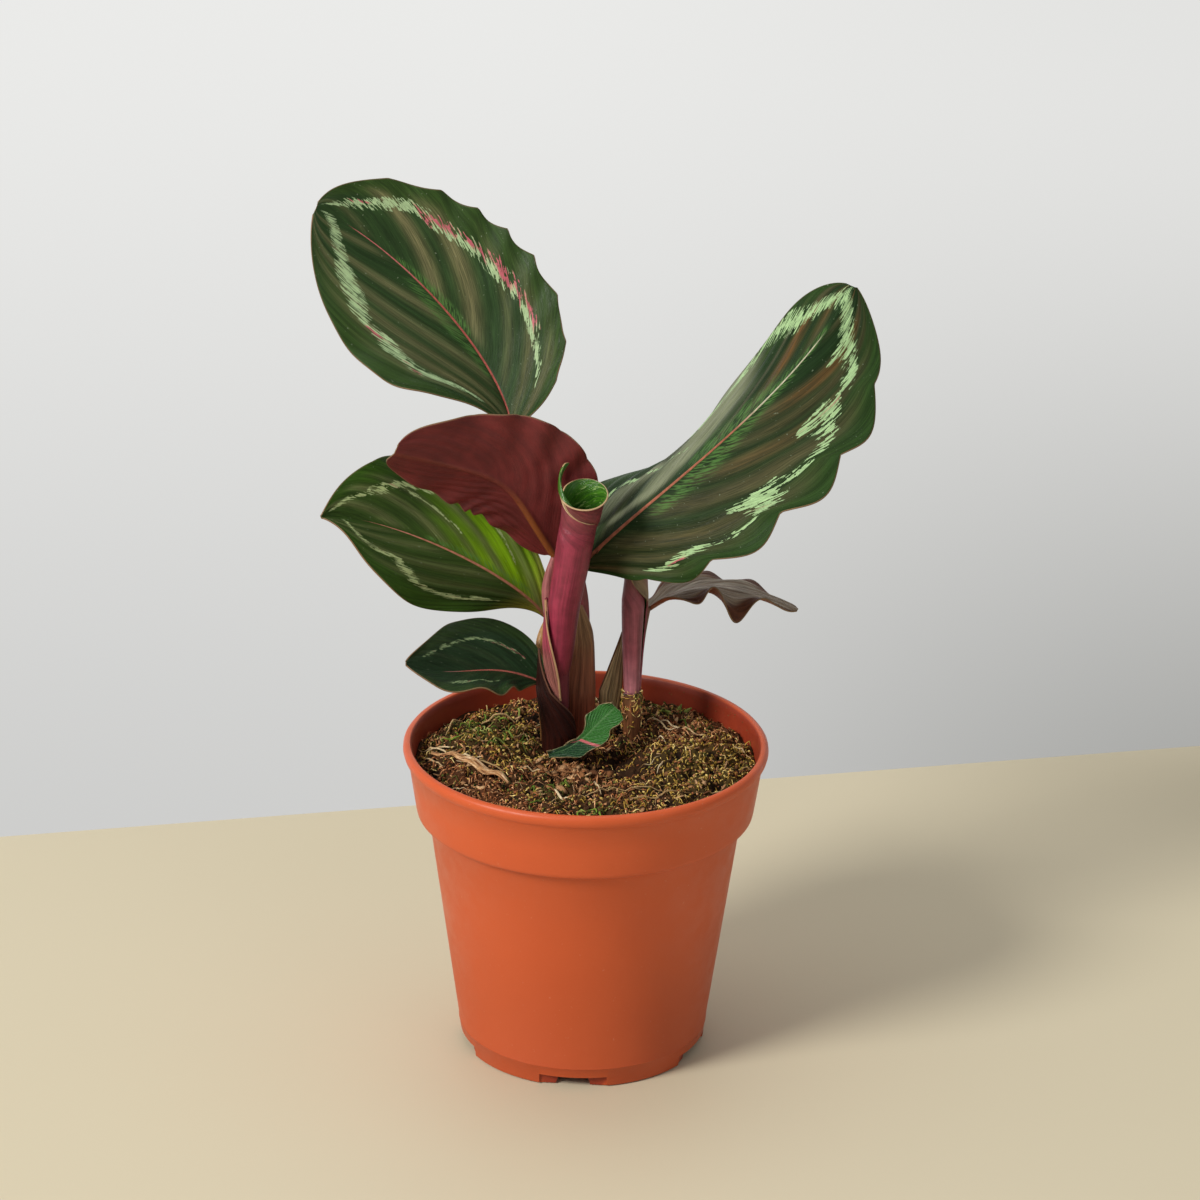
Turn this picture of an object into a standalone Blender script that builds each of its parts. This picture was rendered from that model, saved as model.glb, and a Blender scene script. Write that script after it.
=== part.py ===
"""Potted calathea: tapered nursery pot, filled with soil, with leaves on stalks."""
import bpy
import bmesh
import math
from mathutils import Matrix, Vector

MM = 0.001

# Pot, in millimetres: r is a radius, z a height above the ground.
POT_HEIGHT = 95.8
RIM_RADIUS = 54.0
COLLAR_BOTTOM = 74.3
COLLAR_RADIUS = 50.2
BODY_RADIUS = 46.6
BASE_RADIUS = 36.6
WALL = 1.3
FLOOR_Z = 3.4
FLOOR_THICK = 1.5
PAD_RADIUS = 20.2
SEGMENTS = 50
NOTCHES = 5
NOTCH_START = -4.0
NOTCH_WIDTH = 20.0
NOTCH_HEIGHT = 3.1
DRAIN_RADIUS = 3.6
DRAIN_RING = 29.0

# Soil and the holes that the stalks stand in.
SOIL_Z = 89.5
SOIL_EDGE = 50.4
HOLE_FLOOR = 74.0
STEM_FOOT = 74.4

BLADE = 0.7
SHEATH = 0.8


def clear_scene():
    for old in list(bpy.data.objects):
        bpy.data.objects.remove(old, do_unlink=True)


def material(name, colour, roughness=0.5, metallic=0.0):
    mat = bpy.data.materials.get(name) or bpy.data.materials.new(name)
    mat.use_nodes = True
    shader = mat.node_tree.nodes["Principled BSDF"]
    shader.inputs["Base Color"].default_value = (*colour, 1.0)
    shader.inputs["Roughness"].default_value = roughness
    shader.inputs["Metallic"].default_value = metallic
    mat.diffuse_color = (*colour, 1.0)
    return mat


def add_object(name, data, mat):
    data.materials.append(mat)
    obj = bpy.data.objects.new(name, data)
    bpy.context.scene.collection.objects.link(obj)
    return obj


def lerp_table(table, t):
    """Value at t from pairs (t, value); values are numbers or tuples."""
    if t <= table[0][0]:
        return table[0][1]
    for (t0, a), (t1, b) in zip(table, table[1:]):
        if t <= t1:
            f = (t - t0) / (t1 - t0)
            f = f * f * (3 - 2 * f) * 0.5 + f * 0.5
            if isinstance(a, tuple):
                return tuple(x + (y - x) * f for x, y in zip(a, b))
            return a + (b - a) * f
    return table[-1][1]


def sheet(name, place, rows, columns, thickness, mat):
    """A grid bent by place(u, v), both from 0 to 1, and thickened both ways."""
    bm = bmesh.new()
    bmesh.ops.create_grid(bm, x_segments=rows, y_segments=columns, size=1.0)
    for vert in bm.verts:
        vert.co = place(vert.co.x * 0.5 + 0.5, vert.co.y * 0.5 + 0.5) * MM
    bmesh.ops.triangulate(bm, faces=bm.faces[:], quad_method="FIXED")
    data = bpy.data.meshes.new(name)
    bm.to_mesh(data)
    bm.free()
    obj = add_object(name, data, mat)
    solid = obj.modifiers.new("thickness", "SOLIDIFY")
    solid.thickness = thickness * MM
    solid.offset = 0.0
    solid.use_even_offset = True
    solid.use_quality_normals = True
    solid.use_rim = True
    return obj


def tube(name, points, radii, mat, steps=4, sides=2):
    """A stalk along a smooth curve through its points, with closed ends."""
    curve = bpy.data.curves.new(name, "CURVE")
    curve.dimensions = "3D"
    curve.bevel_depth = MM
    curve.bevel_resolution = sides
    curve.use_fill_caps = True
    route = smooth(points, steps)
    sizes = smooth([(r, 0.0, 0.0) for r in radii], steps)
    spline = curve.splines.new("POLY")
    spline.points.add(len(route) - 1)
    for point, place, size in zip(spline.points, route, sizes):
        point.co = (place[0] * MM, place[1] * MM, place[2] * MM, 1.0)
        point.radius = size[0]
    return add_object(name, curve, mat)


def smooth(points, steps):
    """Points of a Catmull-Rom curve through the given ones."""
    route = []
    last = len(points) - 1
    for i in range(last):
        p0 = Vector(points[max(i - 1, 0)])
        p1 = Vector(points[i])
        p2 = Vector(points[i + 1])
        p3 = Vector(points[min(i + 2, last)])
        for j in range(steps):
            t = j / steps
            a = 2 * p1 + (p2 - p0) * t
            b = (2 * p0 - 5 * p1 + 4 * p2 - p3) * t * t
            c = (3 * p1 - p0 - 3 * p2 + p3) * t ** 3
            route.append((a + b + c) * 0.5)
    route.append(Vector(points[-1]))
    return route


# Pot: one turned profile, outer side first, then the inside and the underside.

def pot_profile():
    slope = (BODY_RADIUS - BASE_RADIUS) / (COLLAR_BOTTOM - 1.0)
    inner = BASE_RADIUS - WALL
    top = POT_HEIGHT
    rim = RIM_RADIUS
    return [
        (BASE_RADIUS - 0.4, 0.0), (BASE_RADIUS, 0.4),
        (BODY_RADIUS, COLLAR_BOTTOM),
        (COLLAR_RADIUS - 1.1, COLLAR_BOTTOM), (COLLAR_RADIUS - 0.3, COLLAR_BOTTOM + 0.5),
        (COLLAR_RADIUS, COLLAR_BOTTOM + 1.7),
        (rim - 1.5, top - 4.3), (rim - 0.3, top - 3.0),
        (rim, top - 1.7), (rim - 0.6, top - 0.3), (rim - 1.5, top), (rim - 2.4, top - 0.5),
        (rim - 2.8, top - 2.8),
        (COLLAR_RADIUS - WALL, COLLAR_BOTTOM + 2.2),
        (COLLAR_RADIUS - 2.0, COLLAR_BOTTOM + 1.0),
        (BODY_RADIUS - 1.1, COLLAR_BOTTOM - 0.3),
        (BODY_RADIUS - WALL - 0.2, COLLAR_BOTTOM - 1.8),
        (inner + slope * 5, 6.0), (inner - 0.6, FLOOR_Z + FLOOR_THICK),
        (PAD_RADIUS + 4.6, FLOOR_Z + FLOOR_THICK), (PAD_RADIUS + 1.2, FLOOR_THICK),
        (0.0, FLOOR_THICK),
        (0.0, 0.0),
        (PAD_RADIUS, 0.0), (PAD_RADIUS + 3.4, FLOOR_Z),
        (BASE_RADIUS - 3.2, FLOOR_Z), (BASE_RADIUS - 2.6, 0.3), (BASE_RADIUS - 2.3, 0.0),
    ]


def turned(name, profile, mat, shape_top=None):
    """A profile of (r, z) points turned about the vertical axis."""
    bm = bmesh.new()
    verts = [bm.verts.new((r * MM, 0.0, z * MM)) for r, z in profile]
    edges = [bm.edges.new((a, b)) for a, b in zip(verts, verts[1:])]
    if profile[0][0] > 0.0 and profile[-1][0] > 0.0:
        edges.append(bm.edges.new((verts[-1], verts[0])))
    bmesh.ops.spin(bm, geom=verts + edges, cent=(0, 0, 0), axis=(0, 0, 1),
                   angle=math.tau, steps=SEGMENTS, use_merge=True)
    bmesh.ops.remove_doubles(bm, verts=bm.verts[:], dist=1e-6)
    if shape_top:
        shape_top(bm)
    bmesh.ops.triangulate(bm, faces=bm.faces[:])
    bmesh.ops.recalc_face_normals(bm, faces=bm.faces[:])
    data = bpy.data.meshes.new(name)
    bm.to_mesh(data)
    bm.free()
    data.shade_smooth()
    data.set_sharp_from_angle(angle=math.radians(35))
    return add_object(name, data, mat)


def cutter(name, build):
    bm = bmesh.new()
    build(bm)
    bmesh.ops.recalc_face_normals(bm, faces=bm.faces[:])
    data = bpy.data.meshes.new(name)
    bm.to_mesh(data)
    bm.free()
    obj = bpy.data.objects.new(name, data)
    bpy.context.scene.collection.objects.link(obj)
    obj.hide_render = True
    obj.display_type = "WIRE"
    return obj


def cut(obj, tool):
    mod = obj.modifiers.new(tool.name, "BOOLEAN")
    mod.operation = "DIFFERENCE"
    mod.solver = "EXACT"
    mod.object = tool


def around(degrees, radius, z):
    """Point at an angle from the front (-Y), positive toward +X."""
    a = math.radians(degrees)
    return Vector((radius * math.sin(a), -radius * math.cos(a), z))


def foot_notches(bm):
    for i in range(NOTCHES):
        angle = NOTCH_START + i * 360.0 / NOTCHES
        made = bmesh.ops.create_cube(bm, size=1.0)["verts"]
        bmesh.ops.scale(bm, verts=made, vec=(NOTCH_WIDTH * MM, 8 * MM, 2 * NOTCH_HEIGHT * MM))
        bmesh.ops.translate(bm, verts=made, vec=(0, -(BASE_RADIUS - 0.5) * MM, 0))
        bmesh.ops.rotate(bm, verts=made, cent=(0, 0, 0),
                         matrix=Matrix.Rotation(math.radians(angle), 3, "Z"))


def drain_holes(bm):
    for i in range(NOTCHES):
        centre = around(NOTCH_START + i * 360.0 / NOTCHES, DRAIN_RING, 4.0) * MM
        made = bmesh.ops.create_cone(bm, cap_ends=True, segments=16, depth=5 * MM,
                                     radius1=DRAIN_RADIUS * MM, radius2=DRAIN_RADIUS * MM)["verts"]
        bmesh.ops.translate(bm, verts=made, vec=centre)


# Soil: a filled plug of the pot's inside, its top heaped in two mossy mounds.

def soil_height(x, y):
    def mound(cx, cy, size, height):
        return height * math.exp(-((x - cx) ** 2 + (y - cy) ** 2) / size ** 2)
    rise = mound(-30, -2, 15, 4.8) + mound(29, -3, 14, 5.0) + mound(0, -34, 18, 2.6)
    rise += mound(18, 22, 12, 2.0) - mound(10, -7, 8, 3.5) - mound(-6, 30, 16, 1.5)
    rise += 0.7 * math.sin(0.31 * x + 1.0) * math.sin(0.37 * y + 0.4)
    rise += 0.5 * math.sin(0.52 * x - 0.45 * y)
    edge = max(0.0, (math.hypot(x, y) - 40.0) / 10.0)
    return SOIL_Z + rise - 1.0 * edge


def soil_profile():
    slope = (BODY_RADIUS - BASE_RADIUS) / (COLLAR_BOTTOM - 1.0)
    low = BASE_RADIUS - WALL - 0.5
    side = [(0.0, 5.3), (low - 0.2, 5.3), (low + slope * 5, 6.2),
            (BODY_RADIUS - WALL - 0.7, COLLAR_BOTTOM - 1.8), (BODY_RADIUS - 1.7, COLLAR_BOTTOM + 0.2),
            (COLLAR_RADIUS - WALL - 0.6, COLLAR_BOTTOM + 2.4), (SOIL_EDGE, SOIL_Z)]
    rings = [(SOIL_EDGE * (1 - i / 7), SOIL_Z) for i in range(1, 7)]
    return side + rings + [(0.0, SOIL_Z)]


def heap_soil(bm):
    for vert in bm.verts:
        if vert.co.z > (SOIL_Z - 1) * MM:
            vert.co.z = soil_height(vert.co.x / MM, vert.co.y / MM) * MM


STEM_HOLES = [
    (-8.0, 6.0, 5.7), (-2.2, 16.0, 5.4), (-14.0, 13.5, 1.8), (-9.3, 13.5, 1.4),
    (13.5, 14.5, 3.0), (15.5, 20.5, 1.5), (6.3, 19.2, 2.8), (1.5, 3.5, 1.3),
]


def stem_holes(bm):
    for x, y, radius in STEM_HOLES:
        made = bmesh.ops.create_cone(bm, cap_ends=True, segments=20, depth=30 * MM,
                                     radius1=radius * MM, radius2=radius * MM)["verts"]
        bmesh.ops.translate(bm, verts=made, vec=(x * MM, y * MM, (HOLE_FLOOR + 15) * MM))


# Leaf blades. The midrib is a cubic curve; the rest says how each half spreads from it.

def bezier(points, t):
    s = 1 - t
    p0, p1, p2, p3 = (Vector(p) for p in points)
    return p0 * s ** 3 + p1 * 3 * s * s * t + p2 * 3 * s * t * t + p3 * t ** 3


def bezier_way(points, t):
    s = 1 - t
    p0, p1, p2, p3 = (Vector(p) for p in points)
    return ((p1 - p0) * s * s + (p2 - p1) * 2 * s * t + (p3 - p2) * t * t).normalized()


def half_width(leaf, x, side):
    power = math.log(0.5) / math.log(leaf["belly"][side])
    arch = max(math.sin(math.pi * min(max(x, 0.0), 1.0) ** power), 0.0)
    return math.hypot(leaf["half"][side] * arch ** leaf["full"][side], 0.5)


def blade_point(leaf, u, v):
    q = 0.004 + 0.992 * (0.5 - 0.5 * math.cos(math.pi * u))
    s = 2 * v - 1
    side = 0 if s >= 0 else 1
    sign = 1 - 2 * side
    a = abs(s)
    out = q + 0.16 * math.sin(math.pi * q)
    x = q + (out - q) * a ** 1.2
    width = half_width(leaf, out, side)
    count, lift, phase, scallop = leaf["edge"][side]
    body = math.sqrt(max(math.sin(math.pi * out), 0.0))
    tooth = abs(math.sin(math.pi * count * out + phase / 2)) - 0.6
    y = width * a * (1 + scallop * a ** 3 * body * tooth)
    f0, f1, f2 = leaf["fold"][side]
    fold = math.radians(f0 * (1 - x) ** 2 + f1 * 2 * x * (1 - x) + f2 * x * x)
    curl = math.radians(leaf["curl"][side]) * (0.25 + 0.75 * math.sin(math.pi * x))
    if abs(curl) < 1e-4:
        curl = 1e-4
    full = leaf["half"][side]
    angle = fold + curl * y / full
    spread = (math.sin(angle) - math.sin(fold)) * full / curl
    rise = (math.cos(fold) - math.cos(angle)) * full / curl
    along = bezier_way(leaf["rib"], x)
    face = Vector(leaf["face"][0]).normalized() * (1 - x) + Vector(leaf["face"][1]).normalized() * x
    up = (face - along * face.dot(along)).normalized()
    across = up.cross(along) * sign
    ripple = lift * body * a ** 2.5 * math.cos(math.tau * count * out + phase)
    normal = up * math.cos(angle) - across * math.sin(angle)
    return bezier(leaf["rib"], x) + across * spread + up * rise + normal * ripple


# Sides are left, right as seen on the upper face with the tip ahead; edge is waves along
# the margin, their height, phase and the depth of the scallops between them.
LEAVES = {
    "leaf_upper_left": dict(
        rib=[(-23, 20, 186), (-26, 42, 200), (-57, 48, 233), (-81, 42, 246)],
        face=[(0, -0.83, 0.55), (-0.08, -0.87, 0.49)], half=(33, 30), belly=(0.5, 0.41),
        full=(0.52, 0.54), fold=[(50, 28, 6), (38, 17, 6)], curl=(-3, -6),
        edge=[(4, 0.5, 0, 0), (7.3, 1.0, 1.7, 0.09)]),
    "leaf_back_turned": dict(
        rib=[(-10, 14.4, 149), (-26, 0, 179), (-18, 9, 174), (-56, -15, 191)],
        face=[(0, 0.99, 0.1), (-0.1, 0.96, 0.25)], half=(24.5, 14.5), belly=(0.41, 0.55),
        full=(0.42, 0.42), fold=[(6, 2, 8), (21, -2, 17)], curl=(0, 0),
        edge=[(6, 0.9, 0, 0.04), (5, 0.8, 1, 0)]),
    "leaf_left": dict(
        rib=[(-12, 25, 124.2), (-20, 11, 144), (-62, 8, 165), (-77.5, -3.5, 166.7)],
        face=[(-0.35, -0.75, 0.55), (-0.15, -0.75, 0.65)], half=(20, 26), belly=(0.6, 0.57),
        full=(0.92, 1.0), fold=[(-25, 8, 34), (13, -11, 35)], curl=(-6, -50),
        edge=[(3, 0.8, 0, 0), (5, 1.0, 0, 0.03)]),
    "leaf_low_left": dict(
        rib=[(-13.5, 11, 109.5), (-31, 9, 118.5), (-36.5, -1.5, 114), (-53, -8, 123)],
        face=[(-0.03, -0.59, 0.81), (-0.04, -0.57, 0.82)], half=(16.5, 16.5), belly=(0.54, 0.43),
        full=(0.69, 0.58), fold=[(32, 32, 28), (29, 20, 17)], curl=(0, -11),
        edge=[(3, 1.2, 0, 0.03), (3, 0.5, 0, 0)]),
    "leaf_right": dict(
        rib=[(-2.5, 12.6, 145.7), (11, -4, 170.3), (58.3, 28, 190.5), (77.4, 48.5, 222.2)],
        face=[(-0.35, -0.75, 0.55), (-0.5, -0.75, 0.42)], half=(34, 35.5), belly=(0.44, 0.55),
        full=(0.45, 0.75), fold=[(-9, -60, -2), (-40, 36, -40)], curl=(-40, 18),
        edge=[(3, 0.8, 0, 0), (6, 1.2, 0, 0.13)]),
    "leaf_low_right": dict(
        rib=[(18, 26, 128), (31, 37, 132.5), (42, 37, 133.5), (63, 33, 125)],
        face=[(-0.1, -0.05, 0.99), (0.2, -0.09, 0.98)], half=(14.5, 14.5), belly=(0.51, 0.45),
        full=(0.65, 0.65), fold=[(-12, -5, -18), (26, 12, 6)], curl=(-8, -5),
        edge=[(4, 1.5, 0, 0), (2.5, 3.0, -0.5, 0.05)]),
}
LEAF_GRID = {
    "leaf_upper_left": (22, 10), "leaf_back_turned": (18, 8), "leaf_left": (18, 8),
    "leaf_low_left": (14, 6), "leaf_right": (24, 10), "leaf_low_right": (20, 6),
}

# The seedling leaf: a long oval that lies on the soil at one end and rises at the other.
SEEDLING_SPINE = [(-11.0, -2.6, 92.2), (-5.5, -2.6, 94.4), (-0.5, -2.0, 98.0), (4.2, -0.2, 102.2), (8.6, 2.0, 106.0)]
SEEDLING_HALF = [(0.0, 0.8), (0.25, 3.0), (0.5, 4.6), (0.62, 4.4), (0.85, 4.8), (1.0, 1.2)]


def seedling_point(u, v):
    route = smooth(SEEDLING_SPINE, 8)
    place = u * (len(route) - 1)
    i = min(int(place), len(route) - 2)
    spine = route[i].lerp(route[i + 1], place - i)
    along = (route[i + 1] - route[i]).normalized()
    up = Vector((-0.35, -0.7, 0.62))
    up = (up - along * up.dot(along)).normalized()
    across = up.cross(along)
    s = 2 * v - 1
    half = lerp_table(SEEDLING_HALF, u)
    bend = 0.9 * abs(s) ** 2 + 0.5 * math.sin(7 * u) * abs(s) ** 2
    return spine + across * (half * s) + up * bend


# Rolled leaves: a sheet wound about its axis, its overlap growing toward the top.

def rolled_point(roll, u, v):
    axis = lerp_table(roll["axis"], u)
    radius = lerp_table(roll["radius"], u)
    turns = lerp_table(roll["turns"], u)
    angle = roll["start"] + v * turns * 360.0
    inward = 1 - roll["tight"] * max(0.0, v * turns - 0.12)
    place = Vector(axis) + around(angle, radius * inward, 0.0)
    peak = roll["peak"] * math.exp(-((v * turns * 360.0 - 30.0) / 38.0) ** 2)
    place.z += (peak + roll["slant"] * v) * u ** 4
    place.z -= roll["tilt"] * math.cos(math.radians(angle)) * u ** 4
    return place


ROLLS = {
    "leaf_rolled": dict(
        axis=[(0.0, (-7.3, 6.7, 103.9)), (0.16, (-7.2, 6.2, 115)), (0.48, (-5.8, 3.2, 139)),
              (0.83, (-2.8, -0.5, 165)), (1.0, (-1.2, -2.2, 175.5))],
        radius=[(0.0, 2.2), (0.16, 3.2), (0.48, 6.2), (0.83, 7.0), (1.0, 7.2)],
        turns=[(0.0, 0.93), (0.3, 1.05), (1.0, 1.5)], start=-120.0, tight=0.27, peak=5.0,
        slant=-1.5, tilt=2.6),
    "leaf_rolled_right": dict(
        axis=[(0.0, (13.5, 14.9, 105.2)), (0.4, (13.5, 16.0, 122)), (0.7, (13.7, 17.0, 134)),
              (1.0, (14.0, 18.0, 145))],
        radius=[(0.0, 2.7), (0.4, 3.6), (0.7, 4.3), (1.0, 3.4)],
        turns=[(0.0, 0.93), (0.5, 1.12), (1.0, 1.2)], start=10.0, tight=0.32, peak=0.0,
        slant=2.0, tilt=0.0),
}

# Sheaths: curved plates around the stalks; each row is height share, axis, radius, first
# and last angle from the front.
SHEATHS = {
    "sheath_front": [
        (0.0, (-8.0, 6.0, STEM_FOOT), 4.9, -125, 125), (0.45, (-8.0, 6.0, 96), 4.9, -125, 112),
        (0.6, (-9.0, 6.3, 103), 4.8, -120, 60), (0.76, (-10.0, 6.7, 110), 4.6, -112, -5),
        (1.0, (-10.8, 7.6, 122), 3.4, -88, -72)],
    "sheath_pink": [
        (0.0, (-7.3, 6.6, 107), 3.2, -32, -2), (0.2, (-7.2, 6.2, 114), 4.1, -72, -6),
        (0.5, (-6.8, 4.9, 124), 5.4, -88, -34), (1.0, (-5.8, 3.2, 139.5), 7.1, -92, -84)],
    "sheath_middle": [
        (0.0, (-2.2, 16.0, STEM_FOOT), 4.6, -110, 130), (0.55, (-1.6, 16.0, 106), 4.5, -110, 130),
        (0.8, (-1.2, 15.8, 121), 4.1, -75, 110), (1.0, (-1.6, 15.2, 134), 3.3, -20, 10)],
    "sheath_dry": [
        (0.0, (6.3, 22.8, STEM_FOOT), 4.0, -26, 26), (0.35, (6.3, 22.8, 92), 4.0, -32, 32),
        (0.6, (7.0, 23.0, 103), 3.6, -60, 62), (1.0, (10.8, 23.0, 122), 2.2, -12, 12)],
}


def sheath_point(rows, u, v):
    axis = Vector(lerp_table([(r[0], r[1]) for r in rows], u))
    radius = lerp_table([(r[0], float(r[2])) for r in rows], u)
    first = lerp_table([(r[0], float(r[3])) for r in rows], u)
    last = lerp_table([(r[0], float(r[4])) for r in rows], u)
    return axis + around(first + (last - first) * v, radius, 0.0)


# Stalks, from the foot in the soil to the blade they carry.
STALKS = {
    "petiole_upper_left": (
        [(-3.4, 18.4, STEM_FOOT), (-3.4, 18.6, 92), (-4.0, 23.0, 115), (-6.6, 25.2, 137),
         (-14.5, 24.0, 162.5)], [2.1, 2.1, 1.9, 1.7, 1.5]),
    "petiole_back_turned": (
        [(-9.6, 9.6, STEM_FOOT), (-9.6, 9.6, 92), (-10.7, 9.6, 107), (-13.0, 10.6, 124),
         (-12.2, 12.9, 138.4)], [1.3, 1.3, 1.3, 1.5, 1.5]),
    "petiole_left": (
        [(-14.0, 13.5, STEM_FOOT), (-14.0, 13.5, 92), (-14.4, 16.0, 106), (-14.0, 20.6, 118)],
        [1.4, 1.4, 1.4, 1.4]),
    "petiole_low_left": (
        [(-9.3, 13.5, STEM_FOOT), (-9.3, 13.5, 90), (-10.8, 12.7, 101)], [1.0, 1.0, 1.0]),
    "petiole_right": (
        [(-1.0, 14.4, STEM_FOOT), (-1.0, 14.4, 92), (-0.9, 15.2, 118), (-1.3, 14.6, 134)],
        [1.9, 1.9, 1.7, 1.6]),
    "petiole_low_right": (
        [(15.5, 20.5, STEM_FOOT), (15.4, 20.6, 92), (15.2, 22.0, 106), (16.2, 24.2, 119)],
        [1.1, 1.1, 1.1, 1.1]),
}
CARRIES = {name: name.replace("petiole", "leaf") for name in STALKS}


def main():
    clear_scene()
    terracotta = material("terracotta_plastic", (0.60, 0.16, 0.06), 0.45)
    compost = material("mossy_compost", (0.12, 0.085, 0.04), 0.95)
    green = material("leaf_green", (0.05, 0.14, 0.06), 0.4)
    magenta = material("rolled_magenta", (0.28, 0.05, 0.13), 0.4)
    plum = material("rolled_plum", (0.20, 0.06, 0.10), 0.45)
    stalk = material("stalk_red_brown", (0.30, 0.12, 0.07), 0.5)
    bark = material("sheath_brown", (0.10, 0.04, 0.03), 0.55)
    pink = material("sheath_pink", (0.35, 0.12, 0.12), 0.5)
    olive = material("sheath_olive", (0.15, 0.09, 0.05), 0.6)
    straw = material("sheath_straw", (0.32, 0.24, 0.13), 0.8)

    pot = turned("pot", pot_profile(), terracotta)
    cut(pot, cutter("foot_notches", foot_notches))
    cut(pot, cutter("drain_holes", drain_holes))
    soil = turned("soil", soil_profile(), compost, heap_soil)
    cut(soil, cutter("stem_holes", stem_holes))

    for name, leaf in LEAVES.items():
        rows, columns = LEAF_GRID[name]
        sheet(name, lambda u, v, leaf=leaf: blade_point(leaf, u, v), rows, columns, BLADE, green)
    sheet("leaf_seedling", seedling_point, 8, 4, BLADE, green)
    for name, mat in (("leaf_rolled", magenta), ("leaf_rolled_right", plum)):
        roll = ROLLS[name]
        rows, columns = (10, 22) if name == "leaf_rolled" else (6, 18)
        sheet(name, lambda u, v, roll=roll: rolled_point(roll, u, v), rows, columns, SHEATH, mat)
    for name, mat in (("sheath_front", bark), ("sheath_pink", pink),
                      ("sheath_middle", olive), ("sheath_dry", straw)):
        rows = SHEATHS[name]
        sheet(name, lambda u, v, rows=rows: sheath_point(rows, u, v), 8, 6, SHEATH, mat)

    for name, (points, radii) in STALKS.items():
        leaf = LEAVES[CARRIES[name]]
        start = bezier(leaf["rib"], 0.0)
        way = bezier_way(leaf["rib"], 0.0)
        top = start - way * 0.6
        tube(name, points + [tuple(top)], radii + [0.8], stalk)
    tube("petiole_rolled", [(-7.0, 5.6, STEM_FOOT), (-7.0, 5.6, 92), (-7.3, 6.7, 103.2)],
         [1.9, 1.9, 1.9], magenta)
    tube("stem_right", [(13.5, 14.5, STEM_FOOT), (13.5, 14.5, 92), (13.5, 14.9, 104.5)],
         [2.6, 2.6, 2.6], bark)
    tube("petiole_seedling", [(1.5, 3.5, STEM_FOOT), (1.5, 3.5, 88), (0.5, -0.6, 96.6)],
         [0.9, 0.9, 0.8], stalk)


main()
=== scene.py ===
import math
import random
import bpy
import bmesh
from mathutils import Matrix, Vector, noise


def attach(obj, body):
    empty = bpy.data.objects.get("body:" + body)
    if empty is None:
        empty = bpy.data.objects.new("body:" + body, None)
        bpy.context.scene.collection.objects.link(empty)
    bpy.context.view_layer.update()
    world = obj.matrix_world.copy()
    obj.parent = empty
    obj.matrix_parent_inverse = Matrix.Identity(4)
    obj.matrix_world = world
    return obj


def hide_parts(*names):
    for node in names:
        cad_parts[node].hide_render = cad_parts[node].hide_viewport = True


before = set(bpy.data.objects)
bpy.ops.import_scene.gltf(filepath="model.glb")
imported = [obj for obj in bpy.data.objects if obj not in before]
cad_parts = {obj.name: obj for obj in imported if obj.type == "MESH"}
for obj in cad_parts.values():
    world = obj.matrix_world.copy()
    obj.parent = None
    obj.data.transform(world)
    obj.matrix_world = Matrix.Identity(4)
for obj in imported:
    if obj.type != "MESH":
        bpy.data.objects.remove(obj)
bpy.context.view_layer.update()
scene = bpy.context.scene
scene.view_settings.view_transform = "Standard"
mm = 0.001
quarters = (0, 0.25, 0.5, 0.75, 1)


# small tools for curves and tables

def readTable(table, t):
    if t <= table[0][0]:
        return table[0][1]
    for (t0, a), (t1, b) in zip(table, table[1:]):
        if t <= t1:
            f = (t - t0) / (t1 - t0)
            f = f * f * (3 - 2 * f) * 0.5 + f * 0.5
            if isinstance(a, tuple):
                return tuple(x + (y - x) * f for x, y in zip(a, b))
            return a + (b - a) * f
    return table[-1][1]


def smoothRoute(points, steps):
    route = []
    last = len(points) - 1
    for i in range(last):
        p0, p1, p2, p3 = (Vector(points[min(max(k, 0), last)]) for k in (i - 1, i, i + 1, i + 2))
        for j in range(steps):
            t = j / steps
            a = 2 * p1 + (p2 - p0) * t
            b = (2 * p0 - 5 * p1 + 4 * p2 - p3) * t * t
            c = (3 * p1 - p0 - 3 * p2 + p3) * t ** 3
            route.append((a + b + c) * 0.5)
    route.append(Vector(points[-1]))
    return route


def fromFront(degrees, radius, z):  # 0 is the front, -Y, and angles grow toward +X
    a = math.radians(degrees)
    return Vector((radius * math.sin(a), -radius * math.cos(a), z))


def step(x, low, high):
    t = min(max((x - low) / (high - low), 0.0), 1.0)
    return t * t * (3 - 2 * t)


# small tools for objects

def addObject(name, data):
    made = bpy.data.objects.new(name, data)
    scene.collection.objects.link(made)
    return made


def toMesh(bm, name):
    mesh = bpy.data.meshes.new(name)
    bm.to_mesh(mesh)
    bm.free()
    return mesh


def addPiece(name, mesh, *materials):
    for item in materials:
        mesh.materials.append(item)
    return addObject(name, mesh)


def settle(piece):  # applies the live modifiers, so that the mesh holds what shows
    view = bpy.context.evaluated_depsgraph_get()
    mesh = bpy.data.meshes.new_from_object(piece.evaluated_get(view), preserve_all_data_layers=True, depsgraph=view)
    name = piece.name
    bpy.data.objects.remove(piece)
    return addObject(name, mesh)


def thicken(piece, most):
    wall = piece.modifiers.new("wall", "SOLIDIFY")
    wall.thickness = most * mm
    wall.offset = 0.0
    wall.use_even_offset = False
    wall.use_quality_normals = True
    wall.use_rim = True
    wall.material_offset = 1
    wall.material_offset_rim = 2
    if piece.vertex_groups:
        wall.vertex_group = piece.vertex_groups[0].name


def mount(piece, slot, *nodes):
    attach(piece, "root")
    if nodes:
        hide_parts(*nodes)


def mountSmooth(name, bm, slot, material, *nodes):
    mesh = toMesh(bm, name)
    mesh.shade_smooth()
    mount(addPiece(name, mesh, material), slot, *nodes)


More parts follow.
